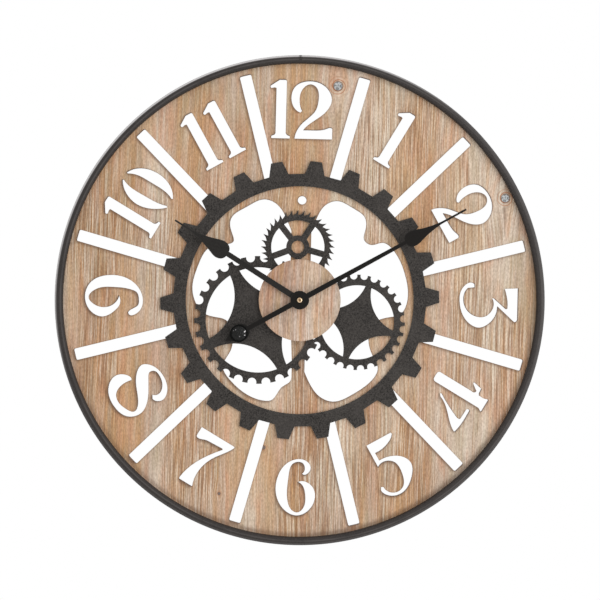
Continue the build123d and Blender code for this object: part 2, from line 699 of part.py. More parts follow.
def collet(bore, barrel, flange, hand_back, hand_front):
    """Collet with a flange behind the hand and a barrel through it."""
    flange_back = hand_back - COLLET_FLANGE
    return tube(flange, bore, flange_back, hand_back) + tube(barrel, bore, hand_back, hand_front)


def hour_collet():
    """Collet of the hour hand, pressed on the hour pipe."""
    return collet(
        PIPE_RADIUS, HOUR_COLLET_BARREL, HOUR_COLLET_FLANGE, HOUR_HAND_BACK, HOUR_HAND_FRONT
    )


def minute_collet():
    """Collet of the minute hand, pressed on the minute arbor."""
    return collet(
        MINUTE_ARBOR_RADIUS, MINUTE_COLLET_BARREL, MINUTE_COLLET_FLANGE,
        MINUTE_HAND_BACK, MINUTE_HAND_FRONT,
    )


def rubber_gasket():
    """Soft square between the case and the board."""
    return plate(Rectangle(GASKET_WIDTH, GASKET_WIDTH) - Circle(BUSH_HOLE), CASE_FRONT, BOARD_BACK)


def module_of(leaves, teeth, reach):
    """Module of a pinion and a wheel whose centres are a given distance apart."""
    return 2 * reach / (leaves + teeth)


# Modules, centres and pivot ends of the train
ROTOR_MODULE = module_of(ROTOR_LEAVES, INTERMEDIATE_TEETH, ROTOR_REACH)
INTERMEDIATE_MODULE = module_of(INTERMEDIATE_LEAVES, SECOND_TEETH, INTERMEDIATE_REACH)
SECOND_MODULE = module_of(SECOND_LEAVES, THIRD_TEETH, THIRD_REACH)
THIRD_MODULE = module_of(THIRD_LEAVES, CENTER_TEETH, THIRD_REACH)
CANNON_MODULE = module_of(CANNON_LEAVES, MOTION_TEETH, MOTION_REACH)
MOTION_MODULE = module_of(MOTION_LEAVES, HOUR_TEETH, MOTION_REACH)
INTERMEDIATE_CENTER = polar(INTERMEDIATE_REACH, INTERMEDIATE_TURN)
ROTOR_CENTER = polar(INTERMEDIATE_REACH + ROTOR_REACH, INTERMEDIATE_TURN)
THIRD_CENTER = polar(THIRD_REACH, THIRD_TURN)
MOTION_CENTER = polar(MOTION_REACH, MOTION_TURN)
PIVOT_BACK = COVER_FRONT - PIVOT_DEPTH + RUN_FIT
PIVOT_FRONT = FRONT_INNER + PIVOT_DEPTH - RUN_FIT

# Heights in the housing: the partition under the center wheel, the cell under the partition,
# the coil over the rotor
PARTITION_TOP = -THIRD_MODULE * (CENTER_TEETH / 2 + ADDENDUM) - WHEEL_ROOM - CONTACT_GAUGE
PARTITION_BOTTOM = PARTITION_TOP - PARTITION_THICKNESS
BATTERY_HEIGHT = PARTITION_BOTTOM - BATTERY_FIT - BATTERY_RADIUS
BAY_BOTTOM = BATTERY_HEIGHT - BATTERY_RADIUS - BATTERY_FIT
CASE_BOTTOM = BAY_BOTTOM - CASE_WALL
COIL_HEIGHT = ROTOR_CENTER[1] + COIL_REACH
BAY_TOP = COIL_HEIGHT + FLANGE_RADIUS + COIL_ROOM
CASE_TOP = BAY_TOP + CASE_WALL
PILLAR_SIDE = CASE_INSIDE - PILLAR_INSET
PILLAR_LOW = PARTITION_TOP + PILLAR_INSET
PILLAR_HIGH = BAY_TOP - PILLAR_INSET
PILLARS = [(side, height) for side in (-PILLAR_SIDE, PILLAR_SIDE) for height in (PILLAR_LOW, PILLAR_HIGH)]
STATOR_POST_SIDE = STATOR_WIDTH / 2 - STATOR_POST_INSET
STATOR_POSTS = [(side, ROTOR_CENTER[1]) for side in (-STATOR_POST_SIDE, STATOR_POST_SIDE)]
CIRCUIT_BOTTOM = PILLAR_LOW + PILLAR_RADIUS + CIRCUIT_GAP
CIRCUIT_TOP = PILLAR_HIGH - PILLAR_RADIUS - CIRCUIT_GAP


def case_face():
    """Rounded outline of the housing."""
    middle = (CASE_TOP + CASE_BOTTOM) / 2
    return Pos(0, middle) * RectangleRounded(CASE_WIDTH, CASE_TOP - CASE_BOTTOM, CASE_CORNER)


def movement_case():
    """Case with a train bay, a battery bay, pillars and pivot holes in its front wall."""
    body = plate(case_face(), CASE_BACK, CASE_FRONT)
    inside = CASE_INSIDE
    body -= block(-inside, inside, PARTITION_TOP, BAY_TOP, CASE_BACK, FRONT_INNER)
    body -= block(-inside, inside, BAY_BOTTOM, PARTITION_BOTTOM, CASE_BACK, FRONT_INNER)
    body -= block(-CASE_HALF, CASE_HALF, PARTITION_BOTTOM, CASE_TOP, CASE_BACK, COVER_FRONT)
    for side in (-1, 1):
        edges = sorted((side * inside, side * (inside - CONTACT_SLOT)))
        body -= block(*edges, PARTITION_BOTTOM, PARTITION_TOP, COVER_FRONT, FRONT_INNER)
    body += [at(spot) * disc(PILLAR_RADIUS, PLATE_FRONT, FRONT_INNER) for spot in PILLARS]
    body -= disc(BUSH_RADIUS, FRONT_INNER, CASE_FRONT)
    pivot = disc(ARBOR_RADIUS + RUN_FIT, FRONT_INNER, FRONT_INNER + PIVOT_DEPTH)
    setting = disc(SETTING_ARBOR_RADIUS + RUN_FIT, FRONT_INNER, FRONT_INNER + PIVOT_DEPTH)
    return body - at(THIRD_CENTER) * pivot - at(MOTION_CENTER) * setting


def movement_cover():
    """Back cover of the train bay with posts for the plate and the stator."""
    outer = plate(case_face(), CASE_BACK, COVER_FRONT)
    cover = outer & block(-CASE_HALF, CASE_HALF, PARTITION_BOTTOM, CASE_TOP, CASE_BACK, COVER_FRONT)
    cover += [at(spot) * disc(PILLAR_RADIUS, COVER_FRONT, PLATE_BACK) for spot in PILLARS]
    cover += [at(spot) * disc(STATOR_POST_RADIUS, COVER_FRONT, STATOR_BACK) for spot in STATOR_POSTS]
    pivot = disc(ARBOR_RADIUS + RUN_FIT, COVER_FRONT - PIVOT_DEPTH, COVER_FRONT)
    cover -= [at(spot) * pivot for spot in (ROTOR_CENTER, INTERMEDIATE_CENTER)]
    cover -= disc(SECOND_ARBOR_RADIUS + RUN_FIT, COVER_FRONT - PIVOT_DEPTH, COVER_FRONT)
    return cover - at(MOTION_CENTER) * disc(SETTING_ARBOR_RADIUS + RUN_FIT, CASE_BACK, COVER_FRONT)


def train_plate():
    """Middle plate between the pillars, with the inner pivot holes."""
    edge = CASE_INSIDE - PLATE_CLEARANCE
    bottom = PARTITION_TOP + CONTACT_SLOT + PLATE_CLEARANCE
    body = block(-edge, edge, bottom, BAY_TOP - PLATE_CLEARANCE, PLATE_BACK, PLATE_FRONT)
    pivot = disc(ARBOR_RADIUS + RUN_FIT, PLATE_BACK, PLATE_FRONT)
    body -= [at(spot) * pivot for spot in (ROTOR_CENTER, INTERMEDIATE_CENTER, THIRD_CENTER)]
    body -= disc(SECOND_ARBOR_RADIUS + RUN_FIT, PLATE_BACK, PLATE_FRONT)
    return body - at(MOTION_CENTER) * disc(SETTING_ARBOR_RADIUS + RUN_FIT, PLATE_BACK, PLATE_FRONT)


def in_mesh(teeth, turn, mate_teeth, direction):
    """Turn that puts a mate's gap on this wheel's tooth; the direction points at the mate."""
    return direction + 180 + (180 - (turn - direction) * teeth) / mate_teeth


def toothed(teeth, module, turn, stand, thickness):
    """Wheel or pinion with straight-sided teeth, a given stand in front of the case's back."""
    root = module * (teeth / 2 - DEDENDUM)
    tip = module * (teeth / 2 + ADDENDUM)
    half = 180 / teeth
    points = []
    for step in range(teeth):
        middle = turn + 360 * step / teeth
        points.append(polar(root, middle - ROOT_SHARE * half))
        points.append(polar(tip, middle - TIP_SHARE * half))
        points.append(polar(tip, middle + TIP_SHARE * half))
        points.append(polar(root, middle + ROOT_SHARE * half))
    back = CASE_BACK + stand
    return plate(make_face(Polyline(*points, close=True).edges()), back, back + thickness)


def rotor():
    """Round magnet and pinion of the stepping motor."""
    turn = in_mesh(INTERMEDIATE_TEETH, 0, ROTOR_LEAVES, INTERMEDIATE_TURN)
    body = disc(ARBOR_RADIUS, PIVOT_BACK, PLATE_FRONT)
    magnet_back = CASE_BACK + MAGNET_STAND
    body += disc(MAGNET_RADIUS, magnet_back, magnet_back + MAGNET_THICKNESS)
    body += toothed(ROTOR_LEAVES, ROTOR_MODULE, turn, ROTOR_PINION_STAND, PINION_THICKNESS)
    return at(ROTOR_CENTER) * body


def intermediate_wheel():
    """First wheel of the train, with the pinion that drives the second wheel."""
    turn = in_mesh(SECOND_TEETH, 0, INTERMEDIATE_LEAVES, INTERMEDIATE_TURN)
    body = disc(ARBOR_RADIUS, PIVOT_BACK, PLATE_FRONT)
    body += toothed(
        INTERMEDIATE_TEETH, ROTOR_MODULE, 0, INTERMEDIATE_WHEEL_STAND, WHEEL_THICKNESS
    )
    body += toothed(
        INTERMEDIATE_LEAVES, INTERMEDIATE_MODULE, turn, INTERMEDIATE_PINION_STAND, PINION_THICKNESS
    )
    return at(INTERMEDIATE_CENTER) * body


def second_wheel():
    """Seconds wheel, its arbor steadied in the hollow minute arbor."""
    turn = in_mesh(THIRD_TEETH, 0, SECOND_LEAVES, THIRD_TURN + 180)
    body = disc(SECOND_ARBOR_RADIUS, PIVOT_BACK, CASE_BACK + SECOND_ARBOR_REACH)
    body += toothed(SECOND_TEETH, INTERMEDIATE_MODULE, 0, SECOND_WHEEL_STAND, WHEEL_THICKNESS)
    return body + toothed(SECOND_LEAVES, SECOND_MODULE, turn, SECOND_PINION_STAND, PINION_THICKNESS)


def third_wheel():
    """Third wheel and the pinion that drives the center wheel."""
    turn = in_mesh(CENTER_TEETH, 0, THIRD_LEAVES, THIRD_TURN)
    body = disc(ARBOR_RADIUS, PLATE_BACK, PIVOT_FRONT)
    body += toothed(THIRD_TEETH, SECOND_MODULE, 0, THIRD_WHEEL_STAND, WHEEL_THICKNESS)
    body += toothed(THIRD_LEAVES, THIRD_MODULE, turn, THIRD_PINION_STAND, PINION_THICKNESS)
    return at(THIRD_CENTER) * body


def center_wheel():
    """Hour-turning wheel, held on the minute arbor by friction."""
    wheel = toothed(CENTER_TEETH, THIRD_MODULE, 0, CENTER_WHEEL_STAND, WHEEL_THICKNESS)
    return wheel - disc(MINUTE_ARBOR_RADIUS, CASE_BACK, CASE_FRONT)


def minute_arbor():
    """Hollow arbor with the cannon pinion; carries the minute hand."""
    back = CASE_BACK + MINUTE_ARBOR_STAND
    front = MINUTE_HAND_FRONT + HAND_NUT_HEIGHT - ARBOR_RECESS
    body = disc(MINUTE_ARBOR_RADIUS, back, front)
    body += toothed(CANNON_LEAVES, CANNON_MODULE, 0, CANNON_STAND, PINION_THICKNESS)
    return body - disc(SECOND_ARBOR_RADIUS + RUN_FIT, back, front)


def motion_wheel():
    """Motion wheel and pinion on the setting arbor, which runs out through the cover."""
    wheel_turn = in_mesh(CANNON_LEAVES, 0, MOTION_TEETH, MOTION_TURN)
    pinion_turn = in_mesh(HOUR_TEETH, 0, MOTION_LEAVES, MOTION_TURN)
    body = disc(SETTING_ARBOR_RADIUS, KNOB_BACK, PIVOT_FRONT)
    body += toothed(MOTION_TEETH, CANNON_MODULE, wheel_turn, MOTION_WHEEL_STAND, WHEEL_THICKNESS)
    body += toothed(MOTION_LEAVES, MOTION_MODULE, pinion_turn, MOTION_PINION_STAND, PINION_THICKNESS)
    return at(MOTION_CENTER) * body


def setting_knob():
    """Thumb knob on the setting arbor."""
    knob = tube(KNOB_RADIUS, SETTING_ARBOR_RADIUS, KNOB_BACK, KNOB_BACK + KNOB_THICKNESS)
    return at(MOTION_CENTER) * knob


def hour_wheel():
    """Hour wheel with the pipe that carries the hour hand."""
    back = CASE_BACK + HOUR_WHEEL_STAND
    body = disc(PIPE_RADIUS, back, HOUR_HAND_FRONT)
    body += toothed(HOUR_TEETH, MOTION_MODULE, 0, HOUR_WHEEL_STAND, WHEEL_THICKNESS)
    return body - disc(PIPE_BORE, back, HOUR_HAND_FRONT)


def stator():
    """Soft-iron plate round the rotor with two legs to the coil core."""
    half = STATOR_WIDTH / 2
    middle = ROTOR_CENTER[1]
    leg_top = COIL_HEIGHT + CORE_WIDTH
    body = block(-half, half, middle - STATOR_BAR / 2, middle + STATOR_BAR / 2, STATOR_BACK, STATOR_FRONT)
    body += block(-half, STATOR_LEG - half, middle, leg_top, STATOR_BACK, STATOR_FRONT)
    body += block(half - STATOR_LEG, half, middle, leg_top, STATOR_BACK, STATOR_FRONT)
    return body - at(ROTOR_CENTER) * disc(STATOR_HOLE, STATOR_BACK, STATOR_FRONT)


def along_x(solid):
    """Round solid laid along the coil's axis, its middle over the dial's centre line."""
    axis_depth = STATOR_FRONT + CORE_THICKNESS / 2
    return Pos(0, COIL_HEIGHT, axis_depth) * Rot(0, 90, 0) * solid


def coil_core():
    """Core bar on the stator's legs, through the bobbin."""
    half = STATOR_WIDTH / 2
    bottom = COIL_HEIGHT - CORE_WIDTH / 2
    return block(-half, half, bottom, bottom + CORE_WIDTH, STATOR_FRONT, STATOR_FRONT + CORE_THICKNESS)


def coil_bobbin():
    """Barrel with two flanges round the core."""
    half = COIL_LENGTH / 2
    body = along_x(disc(BARREL_RADIUS, -half, half))
    body += along_x(disc(FLANGE_RADIUS, -half, FLANGE_THICKNESS - half))
    body += along_x(disc(FLANGE_RADIUS, half - FLANGE_THICKNESS, half))
    return body - coil_core()


def coil_winding():
    """Copper between the flanges."""
    half = COIL_LENGTH / 2 - FLANGE_THICKNESS
    return along_x(tube(WINDING_RADIUS, BARREL_RADIUS, -half, half))


def circuit_board():
    """Circuit strip on the cover."""
    right = CIRCUIT_LEFT + CIRCUIT_WIDTH
    return block(CIRCUIT_LEFT, right, CIRCUIT_BOTTOM, CIRCUIT_TOP, COVER_FRONT, CIRCUIT_FRONT)


def on_circuit(place):
    """Place on the circuit strip's front."""
    return Pos(CIRCUIT_LEFT + place[0], CIRCUIT_BOTTOM + place[1], CIRCUIT_FRONT)


def controller_chip():
    """Sealed chip on the circuit strip."""
    return on_circuit(CHIP_PLACE) * Box(CHIP_SIZE, CHIP_SIZE, CHIP_HEIGHT, align=SEAT)


def quartz_crystal():
    """Crystal can lying on the circuit strip."""
    can = Rot(90, 0, 0) * Cylinder(CRYSTAL_RADIUS, CRYSTAL_LENGTH)
    return on_circuit(CRYSTAL_PLACE) * Pos(0, 0, CRYSTAL_RADIUS) * can


def battery():
    """Cell lying in its bay between the two contacts."""
    nub_tip = CASE_INSIDE - CONTACT_GAUGE
    cell = disc(BATTERY_RADIUS, nub_tip - BATTERY_NUB - BATTERY_BODY, nub_tip - BATTERY_NUB)
    cell += disc(BATTERY_NUB_RADIUS, nub_tip - BATTERY_NUB, nub_tip)
    return Pos(0, BATTERY_HEIGHT, BATTERY_DEPTH) * Rot(0, 90, 0) * cell


def contact_wall(side):
    """Contact strip on a side wall, from the battery up through the partition."""
    edges = sorted((side * CASE_INSIDE, side * (CASE_INSIDE - CONTACT_GAUGE)))
    bottom = BATTERY_HEIGHT - CONTACT_WIDTH / 2
    back = BATTERY_DEPTH - CONTACT_WIDTH / 2
    return block(*edges, bottom, PARTITION_TOP + CONTACT_GAUGE, back, back + CONTACT_WIDTH)


def positive_contact():
    """Flat contact with a strip along the partition and a foot on the circuit strip."""
    strip_bottom = PARTITION_TOP
    strip_top = PARTITION_TOP + CONTACT_GAUGE
    right = CIRCUIT_LEFT + CIRCUIT_WIDTH
    back = BATTERY_DEPTH - CONTACT_WIDTH / 2
    foot_front = CIRCUIT_FRONT + CONTACT_GAUGE
    body = contact_wall(1)
    body += block(
        right - CONTACT_FOOT, CASE_INSIDE, strip_bottom, strip_top, CIRCUIT_FRONT, back + CONTACT_FOOT
    )
    foot_top = CIRCUIT_BOTTOM + CONTACT_FOOT
    return body + block(right - CONTACT_FOOT, right, strip_bottom, foot_top, CIRCUIT_FRONT, foot_front)


def negative_contact():
    """Sprung contact: a bowed leaf against the cell and a foot on the circuit strip."""
    wall = CONTACT_GAUGE - CASE_INSIDE
    cell_end = CASE_INSIDE - CONTACT_GAUGE - BATTERY_NUB - BATTERY_BODY
    half = CONTACT_WIDTH / 2
    bow = make_face(
        Polyline(
            (wall, BATTERY_DEPTH - half),
            (cell_end, BATTERY_DEPTH - CONTACT_GAUGE),
            (cell_end, BATTERY_DEPTH + CONTACT_GAUGE),
            (wall, BATTERY_DEPTH + half),
            (wall, BATTERY_DEPTH + LEAF_PEAK),
            (cell_end - CONTACT_GAUGE, BATTERY_DEPTH),
            (wall, BATTERY_DEPTH - LEAF_PEAK),
            close=True,
        ).edges()
    )
    leaf = Pos(0, BATTERY_HEIGHT + half, 0) * Rot(90, 0, 0) * extrude(bow, CONTACT_WIDTH, dir=(0, 0, 1))
    foot_back = BATTERY_DEPTH - half
    foot_top = CIRCUIT_BOTTOM + CONTACT_FOOT
    strip = block(-CASE_INSIDE, wall, PARTITION_TOP, foot_top, CIRCUIT_FRONT, foot_back + CONTACT_FOOT)
    foot = block(
        -CASE_INSIDE, CIRCUIT_LEFT + CONTACT_FOOT, CIRCUIT_BOTTOM, foot_top,
        CIRCUIT_FRONT, CIRCUIT_FRONT + CONTACT_GAUGE,
    )
    return contact_wall(-1) + leaf + strip + foot


PIECES = (
    dial_board, rim_hoop, rim_tabs, tab_screws, gear_ring, gear_cluster, sheet_nails, hub_disc,
    threaded_bush, face_washer, hex_nut, rubber_gasket, hour_hand, hour_collet, minute_hand,
    minute_collet, hand_nut, movement_case, movement_cover, train_plate, rotor, stator, coil_core,
    coil_bobbin, coil_winding, circuit_board, controller_chip, quartz_crystal, intermediate_wheel,
    second_wheel, third_wheel, center_wheel, minute_arbor, motion_wheel, hour_wheel, setting_knob,
    battery, positive_contact, negative_contact,
)

board_middle = BOARD_BACK + BOARD_THICKNESS / 2
to_part_frame = Plane.XZ.location * Pos(0, -HANG_HEIGHT, -board_middle)

os.makedirs("parts", exist_ok=True)
for piece in PIECES:
    export_step(to_part_frame * piece(), f"parts/{piece.__name__}.step")
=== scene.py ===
import math

import bmesh
import bpy
from mathutils import Matrix, Vector


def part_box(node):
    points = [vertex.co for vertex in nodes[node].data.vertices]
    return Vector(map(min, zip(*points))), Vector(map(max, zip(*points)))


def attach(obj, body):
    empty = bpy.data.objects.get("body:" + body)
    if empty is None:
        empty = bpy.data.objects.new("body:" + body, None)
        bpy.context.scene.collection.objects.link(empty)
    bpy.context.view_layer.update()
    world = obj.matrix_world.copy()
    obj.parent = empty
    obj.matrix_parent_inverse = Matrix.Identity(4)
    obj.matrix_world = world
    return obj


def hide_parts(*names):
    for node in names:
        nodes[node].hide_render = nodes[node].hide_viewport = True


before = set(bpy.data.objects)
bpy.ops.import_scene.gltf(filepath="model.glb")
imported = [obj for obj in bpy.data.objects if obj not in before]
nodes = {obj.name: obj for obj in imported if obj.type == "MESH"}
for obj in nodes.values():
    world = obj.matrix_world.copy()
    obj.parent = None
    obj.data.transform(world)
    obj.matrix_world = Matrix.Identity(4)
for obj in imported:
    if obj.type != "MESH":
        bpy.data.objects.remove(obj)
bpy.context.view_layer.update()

MM = 0.001
WHITE = (1.0, 1.0, 1.0, 1.0)

# The dial in millimetres: its axis, the axis's height in the part's frame, and the depths out of
# the wall of that frame's origin and of the board's front
AXIS = (0.0, 0.0)
DIAL_HEIGHT = -122.8
ORIGIN_DEPTH = 25.0
BOARD_FRONT = 29.5

# The rim's section in millimetres
RIM_RADIUS = 300.0
RIM_LIP = 290.0
RIM_FRONT = 37.5
RIM_GAUGE = 1.8
HOOP_INSIDE = RIM_RADIUS - RIM_GAUGE
OUTER_ROUND = 4.0
INNER_ROUND = 3.0
BACK_ROUND = 0.5


def point(right, up, depth):
    """Point in metres from millimetres on the dial; the depth is measured out of the wall."""
    return Vector((right, ORIGIN_DEPTH - depth, up + DIAL_HEIGHT)) * MM


def around(center, radius, degrees):
    """Place on the dial at a radius and an angle from a centre."""
    angle = math.radians(degrees)
    return center[0] + radius * math.cos(angle), center[1] + radius * math.sin(angle)


def tint(red, green, blue):
    """Colour for a shader from screen values of 0 to 255, by the sRGB curve."""
    parts = []
    for value in (red, green, blue):
        share = value / 255
        parts.append(share / 12.92 if share <= 0.04045 else ((share + 0.055) / 1.055) ** 2.4)
    return (*parts, 1.0)


# Height of the dial's axis in metres
AXIS_UP = point(*AXIS, 0).z

# Noise: the range that holds most of its values, and the detail of a plain one
NOISE_RANGE = (0.3, 0.7)
PLAIN = 2.0

# Fades: the value where a fade begins and where it ends, and the share that it gives at both
FADES = {
    "golden tone": (0.48, 0.62, 0.0, 0.55),
    "grey tone": (0.38, 0.5, 0.55, 0.0),
    "dark stripes": (0.5, 0.68, 0.0, 0.28),
    "blush hue": (0.5, 0.66, 0.0, 0.5),
    "olive hue": (0.34, 0.5, 0.5, 0.0),
    "golden veins": (0.48, 0.66, 0.0, 0.45),
    "grey veins": (0.34, 0.5, 0.35, 0.0),
    "growth crest": (0.2, 0.95, 0.0, 1.0),
    "dark lines": (0.49, 0.6, 0.0, 0.85),
    "pale lines": (0.36, 0.47, 0.75, 0.0),
    "dark broad": (0.5, 0.64, 0.0, 0.26),
    "pale broad": (0.34, 0.46, 0.19, 0.0),
    "open pores": (0.58, 0.72, 0.0, 0.5),
    "lively region": (0.4, 0.6, 0.75, 1.1),
    "wood sheen": (*NOISE_RANGE, 0.74, 0.62),
    "cut wall": (0.35, 0.65, 1.0, 0.0),
    "knot crack": (0.47, 0.55, 0.0, 0.8),
    "knot crest": (0.2, 0.9, 0.0, 1.0),
    "knot arcs": (1.1, 2.7, 0.95, 0.0),
    "knot outside": (0.92, 1.02, 0.0, 1.0),
    "knot edge in": (0.8, 1.0, 0.0, 1.0),
    "knot edge out": (1.02, 1.25, 1.0, 0.0),
    "paint cloud": (0.35, 0.7, 0.0, 0.35),
    "lit line patches": (0.3, 0.6, 0.4, 1.0),
    "plastic edge": (0.15, 0.5, 0.0, 0.25),
    "cell sheen": (*NOISE_RANGE, 0.25, 0.38),
    "cell band": (0.715, 0.72, 0.0, 1.0),
    "cell plus end": (0.967, 0.968, 0.0, 1.0),
    "cell minus end": (0.008, 0.009, 1.0, 0.0),
}
EDGE_SAMPLES = 8


class Graph:
    """The shader nodes of a new material or world."""

    def __init__(self, name, kind="materials", shader="Principled BSDF"):
        self.owner = getattr(bpy.data, kind).new(name)
        self.owner.use_nodes = True
        self.tree = self.owner.node_tree
        self.shader = self.tree.nodes[shader]

    def put(self, socket, value):
        if isinstance(value, bpy.types.NodeSocket):
            self.tree.links.new(value, socket)
        else:
            socket.default_value = value

    def add(self, kind, inputs, **settings):
        node = self.tree.nodes.new("ShaderNode" + kind)
        for name, value in settings.items():
            setattr(node, name, value)
        for key, value in inputs.items():
            self.put(node.inputs[key], value)
        return node

    def math(self, operation, first, second=0.0):
        return self.add("Math", {0: first, 1: second}, operation=operation).outputs[0]

    def plus(self, first, second):
        return self.math("ADD", first, second)

    def minus(self, first, second):
        return self.math("SUBTRACT", first, second)

    def times(self, first, second):
        return self.math("MULTIPLY", first, second)

    def over(self, first, second):
        return self.math("DIVIDE", first, second)

    def squares(self, first, second):
        return self.plus(self.times(first, first), self.times(second, second))

    def length(self, first, second):
        return self.math("SQRT", self.squares(first, second))

    def surface(self):
        return self.add("TexCoord", {}).outputs["Object"]

    def split(self, vector):
        return self.add("SeparateXYZ", {0: vector}).outputs

    def place(self):
        """Coordinates on the piece: to the right, to the back and up."""
        return self.split(self.surface())

    def normal(self, kind):
        return self.split(self.add("NewGeometry", {}).outputs[kind])

    def vector(self, x, y, z):
        return self.add("CombineXYZ", {0: x, 1: y, 2: z}).outputs[0]

    def noise(self, vector, scale=1.0, detail=3.0, roughness=0.5):
        inputs = {"Vector": vector, "Scale": scale, "Detail": detail, "Roughness": roughness}
        return self.add("TexNoise", inputs).outputs["Fac"]

    def span(self, value, low, high, start=0.0, end=1.0):
        inputs = {"Value": value, "From Min": low, "From Max": high, "To Min": start, "To Max": end}
        return self.add("MapRange", inputs, interpolation_type="SMOOTHSTEP").outputs[0]

    def fade(self, value, name):
        return self.span(value, *FADES[name])

    def mix(self, share, first, second, blend="MIX"):
        inputs = {0: share, 6: first, 7: second}
        return self.add("Mix", inputs, data_type="RGBA", blend_type=blend).outputs[2]

    def ramp(self, value, stops):
        node = self.add("ValToRGB", {0: value})
        elements = node.color_ramp.elements
        while len(elements) < len(stops):
            elements.new(0.5)
        for element, (position, color) in zip(elements, stops):
            element.position = position
            element.color = color
        return node.outputs[0]

    def bump(self, height, strength, distance):
        inputs = {"Height": height, "Strength": strength, "Distance": distance}
        self.put(self.shader.inputs["Normal"], self.add("Bump", inputs).outputs[0])

    def edges(self, distance, aim=None):
        """Share of the piece's own outer edges that lie near, all round or opposite to an aim."""
        inputs = {"Distance": distance} if aim is None else {"Distance": distance, "Normal": aim}
        node = self.add(
            "AmbientOcclusion", inputs, samples=EDGE_SAMPLES, inside=True, only_local=True,
        )
        return self.minus(1.0, node.outputs["AO"])

    def finish(self, **values):
        """Sets the shader's inputs, named in lower case with underscores."""
        for name, value in values.items():
            socket = name.replace("_", " ").title().replace("Ior", "IOR")
            self.put(self.shader.inputs[socket], value)
        return self.owner


# Wood: tints of the grain, of the knots, and of what the cutting burnt, which also paints the shade
# beside the rim
GOLDEN = tint(207, 161, 111)
GREYED = tint(219, 203, 187)
BLUSH = tint(214, 157, 124)
OLIVE = tint(183, 168, 138)
GROWTH = tint(172, 122, 74)
PORE = tint(112, 78, 54)
WOOD_DUST = tint(186, 182, 178)
KNOT_CORE = tint(112, 86, 70)
KNOT_PALE = tint(198, 203, 205)
KNOT_CRACK = tint(98, 97, 95)
KNOT_RING = tint(166, 106, 72)
KNOT_EDGE = tint(98, 70, 54)
BURNT_AND_SHADE = tint(96, 70, 53)
BURNT_WALL = tint(96, 66, 46)

# Layers of grain: noise steps per metre across and along the board, a shift that keeps the
# layers apart, detail and roughness
GRAINS = {
    "patch": (14.0, 3.5, 0.0, 4.0, 0.6),
    "tone": (17.0, 2.5, 171.0, 3.0, 0.6),
    "stripes": (44.0, 2.2, 31.0, 3.0, 0.55),
    "hue": (75.0, 13.0, 301.0, 3.0, 0.6),
    "region": (14.0, 4.0, 91.0, 3.0, 0.55),
    "veins": (150.0, 7.0, 211.0, 3.0, 0.6),
    "growth": (10.0, 3.0, 133.0, 2.0, 0.55),
    "lines": (860.0, 16.0, 7.0, 2.0, 0.6),
    "broad": (380.0, 11.0, 47.0, 2.0, 0.6),
    "pores": (700.0, 24.0, 83.0, 3.0, 0.55),
}

# Knots: place on the dial and radius in millimetres, and how pale they are
KNOTS = (
    (40.7, 263.6, 5.6, 0.75), (249.1, 131.1, 5.2, 0.9),
    (-40.0, -181.7, 2.4, 0.1), (-93.1, -239.5, 1.7, 0.1),
)
# Grain round a knot: how much less a distance along the board counts, the reach in knot radii,
# and how far the grain gives way
KNOT_ALONG = 0.5
KNOT_REACH = 3.2
KNOT_BEND = 0.8
# Inside a knot: noise steps of its cracks round and outward, waves of its arcs, share of its edge
CRACK_ROUND = 2.1
CRACK_OUT = 2.6
KNOT_WAVES = 9.0
KNOT_EDGE_SHARE = 0.7

# Waver of the grain: noise steps per metre across and along, and its reach in millimetres
WAVERS = ((4.0, 2.4, 24.0), (30.0, 11.0, 3.0))
# Golden and grey bands that run up the board: place and half width in millimetres, and how
# golden; the wavers shift them all by half their reach on average
BANDS = (
    (-260.0, 12.0, -0.1), (-218.0, 24.0, 0.1), (-172.0, 13.0, -0.1), (-146.0, 14.0, 0.09),
    (-98.0, 15.0, -0.07), (6.0, 22.0, 0.11), (58.0, 26.0, -0.1), (134.0, 20.0, 0.11),
    (172.0, 10.0, -0.06), (244.0, 34.0, -0.1),
)
BAND_SHIFT = sum(reach for across, along, reach in WAVERS) / 2
BAND_ON_PATCH = 0.6
# Stops of the patches, from warm over middle to pale
PATCH_STOPS = (0.39, 0.5, 0.6)
# Growth rings: distance in millimetres, how far they stray in radians, the regions that show
# them, and their share there
GROWTH_STEP = 4.6
GROWTH_STRAY = 14.0
GROWTH_REGION = (0.42, 0.58)
GROWTH_SHARE = 0.5
# Fine lines: the regions that show them, and their least and full force
LINE_REGION = (0.4, 0.6)
LINE_FORCES = (0.25, 0.92)
# Dust in the wood: steps per metre, how much longer along the board, noise range and share
DUST_SCALE = 700.0
DUST_ALONG = 0.4
DUST_RANGE = (0.3, 0.66)
DUST_SHARE = 0.6
# Painted shade beside the rim's lip: start, full strength and end from the lip in millimetres,
# the share at its end, the side it favours (right and down), the range of that side, and its least
# share
RIM_SHADE_START = -7.5
RIM_SHADE_FULL = -2.0
RIM_SHADE_END = 0.5
RIM_SHADE_TAIL = 0.5
RIM_SHADE_RIGHT = 0.2
RIM_SHADE_DOWN = 0.8
RIM_SHADE_SIDES = (-0.3, 0.8)
RIM_SHADE_LEAST = 0.1
# Smoke beside the cuts, on their lower left, and char all round: reach in millimetres, range and
# share; and the share of burnt colour on the walls of the cuts
SMOKE_REACH = 5.0
SMOKE_RANGE = (0.1, 0.75)
SMOKE_SHARE = 0.8
CHAR_REACH = 2.0
EDGE_RANGE = (0.1, 0.5)
CHAR_SHARE = 0.35
WALL_SHARE = 0.85
# Relief of lines and pores, with the bump's strength and its height in millimetres, and gloss
LINE_RELIEF = 0.8
PORE_RELIEF = 0.5
WOOD_BUMP = 0.4
WOOD_RELIEF = 0.6
WOOD_GLOSS = 0.2


